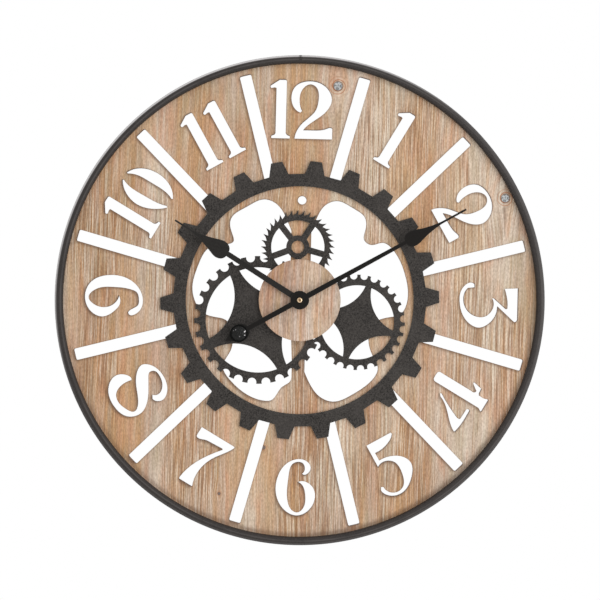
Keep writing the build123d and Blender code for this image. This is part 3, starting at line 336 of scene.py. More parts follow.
def bend_round_knots(g, x, up, knots):
    """Coordinate across the grain, bent round each knot, and where each knot lies."""
    marks = []
    for knot_right, knot_up, size, pale in knots:
        center = point(knot_right, knot_up, 0)
        across = g.minus(x, center.x)
        along = g.minus(up, center.z)
        reach = g.squares(across, g.times(along, KNOT_ALONG))
        near = g.math("EXPONENT", g.times(reach, -1 / (KNOT_REACH * size * MM) ** 2))
        far = g.over(g.length(across, along), size * MM)
        marks.append((far, g.math("ARCTAN2", along, across), pale))
        x = g.minus(x, g.times(g.times(across, KNOT_BEND), near))
    return x, marks


def draw_knots(g, color, marks):
    """Cracked knots with a dark edge and arcs of grain round them."""
    for far, turn, pale in marks:
        core = tuple(a + (b - a) * pale for a, b in zip(KNOT_CORE, KNOT_PALE))
        cracks = g.noise(g.vector(g.times(turn, CRACK_ROUND), g.times(far, CRACK_OUT), pale))
        core = g.mix(g.fade(cracks, "knot crack"), core, KNOT_CRACK)
        swirl = g.math("SINE", g.plus(g.times(far, KNOT_WAVES), turn))
        arcs = g.times(g.fade(swirl, "knot crest"), g.fade(far, "knot arcs"))
        color = g.mix(arcs, color, KNOT_RING)
        color = g.mix(g.fade(far, "knot outside"), core, color)
        edge = g.times(g.fade(far, "knot edge in"), g.fade(far, "knot edge out"))
        color = g.mix(g.times(edge, KNOT_EDGE_SHARE), color, KNOT_EDGE)
    return color


def shade_under_rim(g, color, right, up, share):
    """Painted brown shade on the wood along the rim's lip, strongest at the bottom."""
    above = g.minus(up, AXIS_UP)
    radius = g.length(right, above)
    start, full, end = ((RIM_LIP + step) * MM for step in (RIM_SHADE_START, RIM_SHADE_FULL, RIM_SHADE_END))
    shade_share = g.times(g.span(radius, start, full), g.span(radius, full, end, 1.0, RIM_SHADE_TAIL))
    side = g.over(g.minus(g.times(right, RIM_SHADE_RIGHT), g.times(above, RIM_SHADE_DOWN)), radius)
    shade_share = g.times(shade_share, g.span(side, *RIM_SHADE_SIDES, RIM_SHADE_LEAST * share, share))
    return g.mix(shade_share, color, BURNT_AND_SHADE)


def burn_cuts(g, color, burn):
    """Smoke and char along the edges of cuts, and burnt walls in them."""
    facing = g.normal("True Normal")[1]
    smoke = g.edges(SMOKE_REACH * MM, g.vector(-1.0, facing, -1.0))
    color = g.mix(g.span(smoke, *SMOKE_RANGE, 0.0, SMOKE_SHARE * burn), color, BURNT_AND_SHADE)
    char = g.edges(CHAR_REACH * MM)
    color = g.mix(g.span(char, *EDGE_RANGE, 0.0, CHAR_SHARE * burn), color, BURNT_AND_SHADE)
    wall = g.fade(g.math("ABSOLUTE", facing), "cut wall")
    return g.mix(g.times(wall, WALL_SHARE), color, BURNT_WALL)


def wood(
    name, shift, pale, middle, warm, streak, wash, lean, contrast,
    knots=(), bands=(), rim_shade=0.0, burn=1.0,
):
    """Brushed and whitewashed softwood with upright grain; cuts are burnt brown."""
    g = Graph(name)
    right, back, up = g.place()
    x, knot_marks = bend_round_knots(g, right, up, knots)
    x = g.plus(x, shift)
    for across, along, reach in WAVERS:
        spot = g.vector(g.times(x, across), 0.0, g.times(up, along))
        x = g.plus(x, g.times(g.noise(spot, detail=PLAIN), reach * MM))

    def grain(layer):
        across, along, offset, detail, roughness = GRAINS[layer]
        spot_right = g.plus(g.times(x, across), offset)
        spot = g.vector(spot_right, g.times(back, across), g.times(up, along))
        return g.noise(spot, detail=detail, roughness=roughness)

    def lay(under, value, fade, upper, force=None):
        share = g.fade(value, fade)
        return g.mix(share if force is None else g.times(share, force), under, upper)

    # Patches grow warmer and darker towards the left: partly the board's own tone, partly painted
    # shade of the lamp's falloff
    patch = g.plus(grain("patch"), g.times(x, lean))
    tone = grain("tone")
    for center, half, push in bands:
        far = g.over(g.minus(x, (center + BAND_SHIFT) * MM), half * MM)
        band = g.times(g.math("EXPONENT", g.times(g.times(far, far), -1.0)), push)
        tone = g.plus(tone, band)
        patch = g.minus(patch, g.times(band, BAND_ON_PATCH))
    color = g.ramp(patch, tuple(zip(PATCH_STOPS, (warm, middle, pale))))
    color = lay(color, tone, "golden tone", GOLDEN)
    color = lay(color, tone, "grey tone", GREYED)
    color = lay(color, grain("stripes"), "dark stripes", streak)
    hue = grain("hue")
    color = lay(color, hue, "blush hue", BLUSH)
    color = lay(color, hue, "olive hue", OLIVE)

    region = grain("region")
    lively = g.fade(region, "lively region")
    veins = grain("veins")
    color = lay(color, veins, "golden veins", GOLDEN, lively)
    color = lay(color, veins, "grey veins", GREYED, lively)
    rings = g.plus(
        g.times(x, 2 * math.pi / (GROWTH_STEP * MM)), g.times(grain("growth"), GROWTH_STRAY),
    )
    shown = g.span(region, *GROWTH_REGION, 0.0, GROWTH_SHARE * contrast)
    color = lay(color, g.math("SINE", rings), "growth crest", GROWTH, shown)
    lines = grain("lines")
    broad = grain("broad")
    force = g.span(region, *LINE_REGION, *(share * contrast for share in LINE_FORCES))
    color = lay(color, lines, "dark lines", streak, force)
    color = lay(color, lines, "pale lines", wash, force)
    color = lay(color, broad, "dark broad", streak, lively)
    color = lay(color, broad, "pale broad", wash, lively)
    pores = grain("pores")
    color = lay(color, pores, "open pores", PORE, lively)
    dust_and_highlight = g.noise(g.vector(x, back, g.times(up, DUST_ALONG)), DUST_SCALE, PLAIN)
    dust_and_highlight = g.ramp(dust_and_highlight, tuple(zip(DUST_RANGE, (WOOD_DUST, WHITE))))
    color = g.mix(DUST_SHARE, color, dust_and_highlight, "MULTIPLY")

    color = draw_knots(g, color, knot_marks)
    # Painted shade on the wood beside the rim's lip
    color = shade_under_rim(g, color, right, up, rim_shade)
    color = burn_cuts(g, color, burn)
    relief = g.minus(g.times(lines, LINE_RELIEF), g.times(pores, PORE_RELIEF))
    g.bump(relief, WOOD_BUMP, WOOD_RELIEF * MM)
    sheen = g.fade(lines, "wood sheen")
    return g.finish(base_color=color, roughness=sheen, specular_ior_level=WOOD_GLOSS)


# Marks on painted and bare metal: roughness of their noise
MARK_ROUGHNESS = 0.6
# Paint on steel: scale of its clouds against its speckle, reach of worn edges in millimetres,
# bump and its height in millimetres, and how far the clouds change the roughness
PAINT_CLOUD = 0.04
PAINT_EDGE = 0.9
PAINT_BUMP = 0.25
PAINT_RELIEF = 0.25
PAINT_SHEEN = (-0.06, 0.08)
# Painted highlight line round the rim's front: radius, how far it swings out to the right, half
# widths of its core and its fade, all in millimetres, and its share
LIT_LINE_RADIUS = 294.5
LIT_LINE_SWING = 1.7
LIT_LINE_CORE = 0.2
LIT_LINE_FADE = 1.3
LIT_LINE_SHARE = 0.24
# Painted highlight on the rim's outer round where it faces up and left: colour, distance in
# millimetres from the outside where it is full, share where the round begins, the slopes that
# take it (up and left), their range, and the least share. The colour also paints glints.
PAINTED_HIGHLIGHT = tint(226, 222, 222)
HIGHLIGHT_MARGIN = 1.5
HIGHLIGHT_BACK = 0.2
HIGHLIGHT_UP = 0.8
HIGHLIGHT_LEFT = 0.6
HIGHLIGHT_SLOPES = (0.12, 0.6)
HIGHLIGHT_LEAST = 0.06
# Painted glints on the boss of the minute hand: place on the dial, half length and half width in
# millimetres, lean in degrees and share; and where a glint starts to fade
PAINTED_GLINTS = (
    (-65.7, -39.6, 2.0, 0.9, 52.0, 1.0), (-65.7, -44.2, 1.0, 0.75, 40.0, 0.75),
    (-72.0, -46.1, 1.0, 0.5, 30.0, 0.35), (-77.0, -37.8, 1.0, 0.55, 60.0, 0.4),
    (-79.5, -39.1, 0.9, 0.5, 50.0, 0.3),
)
GLINT_CORE = 0.2


def paint_rim_highlights(g, color, cloud, worn_and_lit, dust_and_highlight):
    """Painted highlights: a bright line round the rim's front, and light where its outer round
    faces up and left.
    """
    right, back, up = g.place()
    radius = g.length(right, g.minus(up, AXIS_UP))
    outer_start, outer_full = RIM_RADIUS - OUTER_ROUND, RIM_RADIUS - HIGHLIGHT_MARGIN
    outer = g.span(radius, outer_start * MM, outer_full * MM)
    round_start, round_end = point(*AXIS, RIM_FRONT - OUTER_ROUND).y, point(*AXIS, RIM_FRONT).y
    front = g.span(back, round_start, round_end, HIGHLIGHT_BACK, 1.0)
    outer = g.times(outer, front)
    # Painted highlight line, swinging outward on the right, in the worn colour
    line = g.plus(g.times(g.over(right, radius), LIT_LINE_SWING * MM), LIT_LINE_RADIUS * MM)
    away = g.math("ABSOLUTE", g.minus(radius, line))
    lit_line_share = g.span(away, LIT_LINE_CORE * MM, LIT_LINE_FADE * MM, LIT_LINE_SHARE, 0.0)
    lit_line_share = g.times(lit_line_share, g.fade(cloud, "lit line patches"))
    color = g.mix(g.times(lit_line_share, front), color, worn_and_lit)
    # Painted highlight on faces of the outer round that point up and to the left
    normal = g.normal("Normal")
    rising = g.minus(g.times(normal[2], HIGHLIGHT_UP), g.times(normal[0], HIGHLIGHT_LEFT))
    lit_share = g.span(rising, *HIGHLIGHT_SLOPES, HIGHLIGHT_LEAST * dust_and_highlight, dust_and_highlight)
    return g.mix(g.times(lit_share, outer), color, PAINTED_HIGHLIGHT)


def paint_glints(g, color, glints):
    """Painted glints: bright ovals."""
    for glint_right, glint_up, half_length, half_width, lean, share in glints:
        right, back, up = g.place()
        center = point(glint_right, glint_up, 0)
        across = g.minus(right, center.x)
        along = g.minus(up, center.z)
        reach = 0.0
        for degrees, half in ((lean, half_length), (lean + 90, half_width)):
            step_right, step_up = around(AXIS, 1 / (half * MM), degrees)
            far = g.plus(g.times(across, step_right), g.times(along, step_up))
            reach = g.plus(g.times(far, far), reach)
        color = g.mix(g.span(reach, GLINT_CORE, 1.0, share, 0.0), color, PAINTED_HIGHLIGHT)
    return color


def metal_paint(
    name, low, high, worn_and_lit, roughness, scale, edge_share, gloss, dust_and_highlight=0.0, glints=(),
):
    """Sprayed paint on steel: fine speckle, uneven sheen, paler along outer edges; can add painted
    highlights and painted glints.
    """
    g = Graph(name)
    place = g.surface()
    speckle = g.noise(place, scale, roughness=MARK_ROUGHNESS)
    cloud = g.noise(place, scale * PAINT_CLOUD)
    color = g.ramp(speckle, tuple(zip(NOISE_RANGE, (low, high))))
    color = g.mix(g.fade(cloud, "paint cloud"), color, high)
    edge = g.edges(PAINT_EDGE * MM)
    color = g.mix(g.span(edge, *EDGE_RANGE, 0.0, edge_share), color, worn_and_lit)
    # Painted highlights on the rim: a bright line and a lighter outer round
    if dust_and_highlight:
        color = paint_rim_highlights(g, color, cloud, worn_and_lit, dust_and_highlight)
    # Painted glints, if any are given
    color = paint_glints(g, color, glints)
    g.bump(speckle, PAINT_BUMP, PAINT_RELIEF * MM)
    sheen = g.span(cloud, *NOISE_RANGE, *(roughness + step for step in PAINT_SHEEN))
    return g.finish(base_color=color, roughness=sheen, specular_ior_level=gloss)


# Bare metal: scale of its tarnish against its marks, bump and its height in millimetres, and
# how much rougher the marks make it
METAL_CLOUD = 0.15
METAL_BUMP = 0.15
METAL_RELIEF = 0.08
METAL_MARKS = 0.15


def bare_metal(name, low, high, roughness, scale=900.0):
    """Turned or drawn metal with fine marks and a little tarnish."""
    g = Graph(name)
    place = g.surface()
    marks = g.noise(place, scale, roughness=MARK_ROUGHNESS)
    cloud = g.noise(place, scale * METAL_CLOUD, PLAIN)
    color = g.mix(g.span(cloud, *NOISE_RANGE), low, high)
    g.bump(marks, METAL_BUMP, METAL_RELIEF * MM)
    sheen = g.span(marks, *NOISE_RANGE, roughness, roughness + METAL_MARKS)
    return g.finish(base_color=color, roughness=sheen, metallic=1.0)


# Plastic: scale of its clouds against its etch, reach of worn edges in millimetres and their
# colour, bump and its height in millimetres, and how much rougher the etch makes it
PLASTIC_CLOUD = 0.03
PLASTIC_EDGE = 0.6
PLASTIC_WORN = tint(150, 150, 150)
PLASTIC_BUMP = 0.2
PLASTIC_RELIEF = 0.06
PLASTIC_ETCH = 0.12


def moulded(name, low, high, roughness, scale=1500.0):
    """Moulded plastic or rubber with a fine etched surface."""
    g = Graph(name)
    place = g.surface()
    etch = g.noise(place, scale, PLAIN)
    cloud = g.noise(place, scale * PLASTIC_CLOUD, PLAIN)
    color = g.mix(g.span(cloud, *NOISE_RANGE), low, high)
    color = g.mix(g.fade(g.edges(PLASTIC_EDGE * MM), "plastic edge"), color, PLASTIC_WORN)
    g.bump(etch, PLASTIC_BUMP, PLASTIC_RELIEF * MM)
    sheen = g.span(etch, *NOISE_RANGE, roughness, roughness + PLASTIC_ETCH)
    return g.finish(base_color=color, roughness=sheen)


# Wrap of the cell: scuffs per metre, bump and its height in millimetres
SCUFF_SCALE = 900.0
SCUFF_BUMP = 0.1
SCUFF_RELIEF = 0.05


def battery_wrap():
    """Printed sleeve of a plain cell: dark body, copper-coloured end, steel ends."""
    g = Graph("cell_wrap")
    low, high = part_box("battery")
    share = g.over(g.minus(g.place()[0], low.x), high.x - low.x)
    scuff = g.noise(g.surface(), SCUFF_SCALE)
    scuffed = g.span(scuff, *NOISE_RANGE)
    body = g.mix(scuffed, tint(24, 24, 26), tint(40, 40, 42))
    band = g.mix(scuffed, tint(176, 104, 58), tint(198, 128, 78))
    color = g.mix(g.fade(share, "cell band"), body, band)
    steel = g.plus(g.fade(share, "cell plus end"), g.fade(share, "cell minus end"))
    color = g.mix(steel, color, tint(206, 206, 204))
    g.bump(scuff, SCUFF_BUMP, SCUFF_RELIEF * MM)
    return g.finish(base_color=color, roughness=g.fade(scuff, "cell sheen"), metallic=steel)


dial_wood = wood(
    "dial_wood", shift=0.0, pale=tint(225, 207, 186), middle=tint(203, 173, 147),
    warm=tint(184, 144, 111), streak=tint(150, 113, 84), wash=tint(234, 219, 199),
    lean=0.19, contrast=1.0, knots=KNOTS, bands=BANDS, rim_shade=0.45,
)
hub_wood = wood(
    "hub_wood", shift=1.37, pale=tint(224, 206, 190), middle=tint(205, 177, 157),
    warm=tint(178, 140, 117), streak=tint(148, 110, 88), wash=tint(230, 220, 210),
    lean=0.0, contrast=0.42, burn=0.25,
)
rim_paint = metal_paint(
    "rim_paint", tint(37, 34, 33), tint(60, 55, 53), tint(118, 114, 112),
    roughness=0.5, scale=700.0, edge_share=0.35, gloss=0.17, dust_and_highlight=0.95,
)
gear_paint = metal_paint(
    "gear_paint", tint(20, 19, 18), tint(77, 73, 70), tint(92, 88, 84),
    roughness=0.62, scale=750.0, edge_share=0.35, gloss=0.08,
)
hour_paint = metal_paint(
    "hour_paint", tint(24, 23, 22), tint(42, 40, 38), tint(70, 68, 66),
    roughness=0.5, scale=900.0, edge_share=0.3, gloss=0.08,
)
minute_paint = metal_paint(
    "minute_paint", tint(15, 14, 13), tint(28, 26, 24), tint(60, 58, 56),
    roughness=0.5, scale=900.0, edge_share=0.3, gloss=0.06,
)
drop_paint = metal_paint(
    "drop_paint", tint(8, 8, 8), tint(18, 18, 18), tint(30, 30, 30),
    roughness=0.35, scale=500.0, edge_share=0.1, gloss=0.03,
)
weld_paint = metal_paint(
    "weld_paint", tint(33, 30, 29), tint(56, 51, 49), tint(84, 80, 78),
    roughness=0.45, scale=700.0, edge_share=0.2, gloss=0.2,
)
# Glossy black boss with painted glints
dish_paint = metal_paint(
    "dish_paint", tint(8, 8, 8), tint(34, 34, 33), tint(60, 60, 58),
    roughness=0.2, scale=420.0, edge_share=0.1, gloss=0.12, glints=PAINTED_GLINTS,
)
nail_steel = metal_paint(
    "nail_steel", tint(20, 19, 18), tint(40, 38, 36), tint(96, 92, 88),
    roughness=0.5, scale=2500.0, edge_share=0.3, gloss=0.2,
)
screw_steel = bare_metal("screw_steel", tint(168, 168, 166), tint(196, 196, 192), 0.3)
brass = bare_metal("brass", tint(196, 158, 92), tint(226, 190, 120), 0.22)
nut_brass = bare_metal("nut_brass", tint(196, 166, 132), tint(222, 196, 164), 0.18)
# Darker copy of the brass for the arbor's end in the nut's open middle: painted shade of that
# hollow
shaded_arbor_brass = bare_metal("shaded_arbor_brass", tint(112, 86, 62), tint(146, 116, 86), 0.3)
bright_can = bare_metal("bright_can", tint(196, 198, 200), tint(222, 222, 222), 0.2)
contact_steel = bare_metal("contact_steel", tint(180, 178, 172), tint(206, 204, 198), 0.25)
motor_iron = bare_metal("motor_iron", tint(128, 126, 122), tint(158, 156, 150), 0.4)
copper_wire = bare_metal("copper_wire", tint(168, 92, 52), tint(206, 124, 76), 0.3, scale=2600.0)
rotor_magnet = moulded("rotor_magnet", tint(58, 58, 62), tint(72, 72, 76), 0.4)
gasket_rubber = moulded("gasket_rubber", tint(28, 28, 28), tint(40, 40, 40), 0.75)
case_plastic = moulded("case_plastic", tint(24, 24, 25), tint(34, 34, 35), 0.45)
plate_plastic = moulded("plate_plastic", tint(206, 204, 196), tint(222, 220, 212), 0.45)
wheel_plastic = moulded("wheel_plastic", tint(226, 224, 216), tint(238, 236, 230), 0.4)
circuit_laminate = moulded("circuit_laminate", tint(28, 92, 54), tint(40, 112, 66), 0.4)
chip_resin = moulded("chip_resin", tint(16, 16, 17), tint(26, 26, 27), 0.3)
cell_wrap = battery_wrap()

LOOKS = {
    "dial_board": dial_wood, "hub_disc": hub_wood, "rim_hoop": rim_paint, "rim_tabs": rim_paint,
    "tab_screws": screw_steel, "gear_ring": gear_paint, "gear_cluster": gear_paint,
    "sheet_nails": nail_steel, "threaded_bush": brass, "face_washer": brass, "hex_nut": brass,
    "rubber_gasket": gasket_rubber, "hour_hand": hour_paint, "minute_hand": minute_paint,
    "hour_collet": brass, "minute_collet": brass, "hand_nut": brass, "movement_case": case_plastic,
    "movement_cover": case_plastic, "train_plate": plate_plastic, "rotor": rotor_magnet,
    "stator": motor_iron, "coil_core": motor_iron, "coil_bobbin": plate_plastic,
    "coil_winding": copper_wire, "circuit_board": circuit_laminate, "controller_chip": chip_resin,
    "quartz_crystal": bright_can, "intermediate_wheel": wheel_plastic,
    "second_wheel": wheel_plastic, "third_wheel": wheel_plastic, "center_wheel": wheel_plastic,
    "minute_arbor": shaded_arbor_brass, "motion_wheel": wheel_plastic, "hour_wheel": wheel_plastic,
    "setting_knob": case_plastic, "battery": cell_wrap, "positive_contact": contact_steel,
    "negative_contact": contact_steel,
}
for name, material in LOOKS.items():
    slots = nodes[name].data.materials
    for index in range(len(slots)):
        slots[index] = material

# Small rounds on edges that catch the light, by node and width in millimetres
ROUNDS = {
    "hub_disc": 0.5, "gear_ring": 0.3, "hex_nut": 0.35, "face_washer": 0.15,
    "movement_case": 0.3, "movement_cover": 0.25, "rim_tabs": 0.25,
}
ROUND_SEGMENTS = 2
ROUND_ANGLE = 50.0
for name, width in ROUNDS.items():
    bevel = nodes[name].modifiers.new("round", "BEVEL")
    bevel.width = width * MM
    bevel.segments = ROUND_SEGMENTS
    bevel.limit_method = "ANGLE"
    bevel.angle_limit = math.radians(ROUND_ANGLE)


def add_piece(name, mesh_maker, material, body, smooth=True):
    """New piece from a function that fills a bmesh in millimetres on the dial."""
    mesh = bpy.data.meshes.new(name)
    work = bmesh.new()
    mesh_maker(work)
    for vertex in work.verts:
        vertex.co = point(*vertex.co)
    bmesh.ops.recalc_face_normals(work, faces=work.faces)
    work.to_mesh(mesh)
    work.free()
    if smooth:
        mesh.shade_smooth()
    piece = bpy.data.objects.new(name, mesh)
    bpy.context.scene.collection.objects.link(piece)
    mesh.materials.append(material)
    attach(piece, body)
    return piece


def split_corners(piece, degrees):
    """Keeps a smooth piece's corners sharp."""
    piece.modifiers.new("corners", "EDGE_SPLIT").split_angle = math.radians(degrees)


def circle(work, radius, depth, count, place=Matrix()):
    """Ring of corners round the depth axis."""
    ring = []
    for step in range(count):
        spot = Vector((*around(AXIS, radius, 360 * step / count), depth))
        ring.append(work.verts.new(place @ spot))
    return ring


def bridge(work, low, high, closed=True):
    """Faces between two rows of corners."""
    count = len(low)
    for step in range(count if closed else count - 1):
        after = (step + 1) % count
        work.faces.new((low[step], low[after], high[after], high[step]))


def bridge_round(work, rings):
    """Faces between rings, and from the last back to the first."""
    for low, high in zip(rings, rings[1:] + rings[:1]):
        bridge(work, low, high)


def lathe(work, profile, count, place=Matrix()):
    """Turns a profile of (radius, depth) round the depth axis; radius 0 closes an end."""
    rings = []
    for radius, depth in profile:
        if radius == 0:
            rings.append([work.verts.new(place @ Vector((0, 0, depth)))])
        else:
            rings.append(circle(work, radius, depth, count, place))
    for low, high in zip(rings, rings[1:]):
        if len(low) == len(high):
            bridge(work, low, high)
            continue
        for step in range(count):
            after = (step + 1) % count
            if len(low) == 1:
                work.faces.new((low[0], high[step], high[after]))
            else:
                work.faces.new((low[step], low[after], high[0]))


def ring_of(work, profile, count):
    """Turns a closed profile of (radius, depth) round the depth axis."""
    bridge_round(work, [circle(work, radius, depth, count) for radius, depth in profile])


def arc(radius, depth, size, start, end, steps):
    """Points of a round in a profile, from one angle to another."""
    return [
        around((radius, depth), size, start + (end - start) * step / steps)
        for step in range(steps + 1)
    ]


# Rolled hoop, turned finely so that its rounds catch the light evenly
FRONT_STEPS = 8
BACK_STEPS = 3
HOOP_STEPS = 320
HOOP_PROFILE = [
    *arc(RIM_RADIUS - BACK_ROUND, BACK_ROUND, BACK_ROUND, -90, 0, BACK_STEPS),
    *arc(RIM_RADIUS - OUTER_ROUND, RIM_FRONT - OUTER_ROUND, OUTER_ROUND, 0, 90, FRONT_STEPS),
    *arc(RIM_LIP + INNER_ROUND, RIM_FRONT - INNER_ROUND, INNER_ROUND, 90, 180, FRONT_STEPS),
    (RIM_LIP, BOARD_FRONT), (RIM_LIP + RIM_GAUGE, BOARD_FRONT),
    (RIM_LIP + RIM_GAUGE, RIM_FRONT - RIM_GAUGE), (HOOP_INSIDE, RIM_FRONT - RIM_GAUGE),
    *arc(HOOP_INSIDE + BACK_ROUND, BACK_ROUND, BACK_ROUND, 180, 270, BACK_STEPS),
]
CORNER = 35.0


def rolled_hoop(work):
    ring_of(work, HOOP_PROFILE, HOOP_STEPS)


hoop = add_piece("rolled_hoop", rolled_hoop, rim_paint, "frame")
split_corners(hoop, CORNER)
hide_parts("rim_hoop")

# Turned hand nut with an open middle; profiles are (radius, depth) in millimetres
NUT_STEPS = 64
NUT_PROFILE = (
    (1.75, 47.2), (3.3, 47.2), (3.5, 47.4), (3.5, 48.25), (3.32, 48.75), (2.98, 49.15),
    (2.6, 49.45), (2.25, 49.63), (1.95, 49.7), (1.8, 49.6), (1.75, 49.4),
)


def turned_nut(work):
    ring_of(work, NUT_PROFILE, NUT_STEPS)


nut = add_piece("turned_nut", turned_nut, nut_brass, "minute")
split_corners(nut, CORNER)
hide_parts("hand_nut")

# Pan screws of the tabs, with a cross recess that is turned on from screw to screw
TABS = 6
FIRST_TAB = 90.0
SCREW_INSET = 14.0
SCREW_RING = HOOP_INSIDE - SCREW_INSET
SCREW_STEPS = 28
SCREW_PROFILE = (
    (0, 26.4), (1.0, 26.0), (1.6, 25.0), (1.6, 18.7), (3.4, 18.7), (3.4, 18.1),
    (3.2, 17.5), (2.7, 17.05), (1.8, 16.78), (0, 16.7),
)
CROSS_ARM = 1.9
CROSS_WIDTH = 0.7
CROSS_DEPTH = 1.0
CROSS_BACK = 16.5
CROSS_TURN = 17.0


def tab_turn(tab):
    return FIRST_TAB + 360 * tab / TABS


def screw_place(tab, depth):
    return Matrix.Translation((*around(AXIS, SCREW_RING, tab_turn(tab)), depth))


def pan_screws(work):
    for tab in range(TABS):
        lathe(work, SCREW_PROFILE, SCREW_STEPS, screw_place(tab, 0))


def cross_cutter(work):
    size = Matrix.Diagonal((2 * CROSS_ARM, CROSS_WIDTH, CROSS_DEPTH, 1))
    for tab in range(TABS):
        middle = screw_place(tab, CROSS_BACK + CROSS_DEPTH / 2)
        for quarter in (0, 90):
            turned = Matrix.Rotation(math.radians(quarter + CROSS_TURN * tab), 4, "Z")
            bmesh.ops.create_cube(work, size=1, matrix=middle @ turned @ size)


def cut_by(piece, cutter):
    """Takes the cutter's shape out of a piece's mesh and deletes the cutter."""
    modifier = piece.modifiers.new("cut", "BOOLEAN")
    modifier.object = cutter
    modifier.operation = "DIFFERENCE"
    modifier.use_self = True
    bpy.context.view_layer.update()
    seen = piece.evaluated_get(bpy.context.evaluated_depsgraph_get())
    mesh = bpy.data.meshes.new_from_object(seen)
    piece.modifiers.clear()
    piece.data = mesh
    bpy.data.objects.remove(cutter)


screws = add_piece("pan_screws", pan_screws, screw_steel, "frame")
cut_by(screws, add_piece("cross_cutter", cross_cutter, screw_steel, "frame"))
screws.data.shade_smooth()
split_corners(screws, CORNER)
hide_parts("tab_screws")

# Round-headed nails, six in the ring and one in each gear
RING_NAILS = 6
FIRST_NAIL = 4.0
NAIL_RING = 148.0
# Nails in the gears: the gear's centre, and the nail's distance and angle from it
GEAR_NAILS = (
    ((-50.2, -25.4), 66.0, 208.0), ((71.0, -25.4), 48.0, 343.5), ((-3.9, 65.1), 36.0, 90.0),
)
NAIL_SPOTS = [
    *(around(AXIS, NAIL_RING, FIRST_NAIL + 360 * nail / RING_NAILS) for nail in range(RING_NAILS)),
    *(around(*nail) for nail in GEAR_NAILS),
]
NAIL_STEPS = 20
NAIL_CORNER = 45.0
NAIL_PROFILE = (
    (0, 23.5), (0.5, 24.4), (0.7, 25.2), (0.7, 32.5), (2.1, 32.5), (2.1, 32.8), (1.95, 33.05),
    (1.4, 33.22), (0.7, 33.29), (0, 33.3),
)


def round_nails(work):
    for spot in NAIL_SPOTS:
        lathe(work, NAIL_PROFILE, NAIL_STEPS, Matrix.Translation((*spot, 0)))


nails = add_piece("round_nails", round_nails, nail_steel, "frame")
split_corners(nails, NAIL_CORNER)
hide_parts("sheet_nails")

# Weld of the hoop's joint at the top: its angle, its half width and how much that wanders, how
# uneven its rise is, how deep its sides sink in, the waves of wandering and rise from point to
# point, and the steps in half its width
SEAM_TURN = 91.2
SEAM_HALF = 2.8
SEAM_WANDER = 0.35
SEAM_UNEVEN = 0.25
SEAM_SINK = 0.05
WANDER_WAVE = 2.3
UNEVEN_WAVE = 5.1
SEAM_STEPS = 3
# Points across the hoop's section: radius, depth and rise
SEAM_LINE = (
    (300.0, 6.0, 0.14), (300.0, 13.0, 0.14), (300.0, 20.0, 0.15), (300.0, 27.0, 0.16),
    (300.0, 33.5, 0.18), (299.3, 35.8, 0.18), (297.6, 37.2, 0.16), (296.0, 37.5, 0.14),
    (293.0, 37.5, 0.13), (291.0, 36.7, 0.13), (290.0, 34.5, 0.13), (290.0, 30.2, 0.12),
)
# Weld bead down each side of every tab: size, ripples, taper of its ends, and how it lies in
# the corner
TAB_HALF = 10.0
BEAD_RADIUS = 1.1
BEAD_FRONT = 18.2
BEAD_BACK = 9.0
BEAD_RIPPLES = 7
RIPPLE_STEPS = 4
RIPPLE_SWELL = 0.18
BEAD_TAPER = 6.0
BEAD_TIP = 0.02
BEAD_OFFSET = 0.5
BEAD_LIFT = 0.25
BEAD_FLATNESS = 0.8
BEAD_SINK = 0.2
BEAD_CORNERS = 10


def weld_seam(work):
    """Low uneven ridge across the hoop's section."""
    rows = []
    line = [Vector((radius, depth)) for radius, depth, rise in SEAM_LINE]
    for index, spot in enumerate(line):
        before = line[max(index - 1, 0)]
        after = line[min(index + 1, len(line) - 1)]
        along = (after - before).normalized()
        out = Vector((along.y, -along.x))
        height = SEAM_LINE[index][2] * (1 + SEAM_UNEVEN * math.sin(UNEVEN_WAVE * index))
        half = SEAM_HALF + SEAM_WANDER * math.sin(WANDER_WAVE * index)
        row = []
        for step in range(2 * SEAM_STEPS + 1):
            share = step / SEAM_STEPS - 1
            radius, depth = spot + out * (height * (1 - share * share) - SEAM_SINK)
            turn = SEAM_TURN + math.degrees(share * half / RIM_RADIUS)
            row.append(work.verts.new((*around(AXIS, radius, turn), depth)))
        rows.append(row)
    for low, high in zip(rows, rows[1:]):
        bridge(work, low, high, closed=False)


def tab_bead(work, turn):
    """Rippled bead on the inside of the hoop, from back to front."""
    rings = []
    steps = RIPPLE_STEPS * BEAD_RIPPLES
    for step in range(steps + 1):
        share = step / steps
        depth = BEAD_BACK + (BEAD_FRONT - BEAD_BACK) * share
        wave = math.cos(2 * math.pi * share * BEAD_RIPPLES)
        swell = 1 - RIPPLE_SWELL + RIPPLE_SWELL * wave
        taper = min(1.0, BEAD_TAPER * share, BEAD_TAPER * (1 - share))
        thick = BEAD_RADIUS * swell * math.sqrt(max(taper, BEAD_TIP))
        ring = []
        for corner in range(BEAD_CORNERS):
            outward, sideways = around(AXIS, thick, 360 * corner / BEAD_CORNERS)
            radius = HOOP_INSIDE + min(outward * BEAD_FLATNESS - BEAD_LIFT, BEAD_SINK)
            spot = around(AXIS, radius, turn + math.degrees(sideways / HOOP_INSIDE))
            ring.append(work.verts.new((*spot, depth)))
        rings.append(ring)
    for low, high in zip(rings, rings[1:]):
        bridge(work, low, high)
    work.faces.new(rings[0])
    work.faces.new(rings[-1])


def tab_beads(work):
    """A bead in both corners between each tab's flange and the hoop."""
    beside = math.degrees(math.asin((TAB_HALF + BEAD_OFFSET * BEAD_RADIUS) / HOOP_INSIDE))
    for tab in range(TABS):
        for side in (-1, 1):
            tab_bead(work, tab_turn(tab) + side * beside)


add_piece("weld_seam", weld_seam, weld_paint, "frame")
add_piece("tab_beads", tab_beads, weld_paint, "frame")

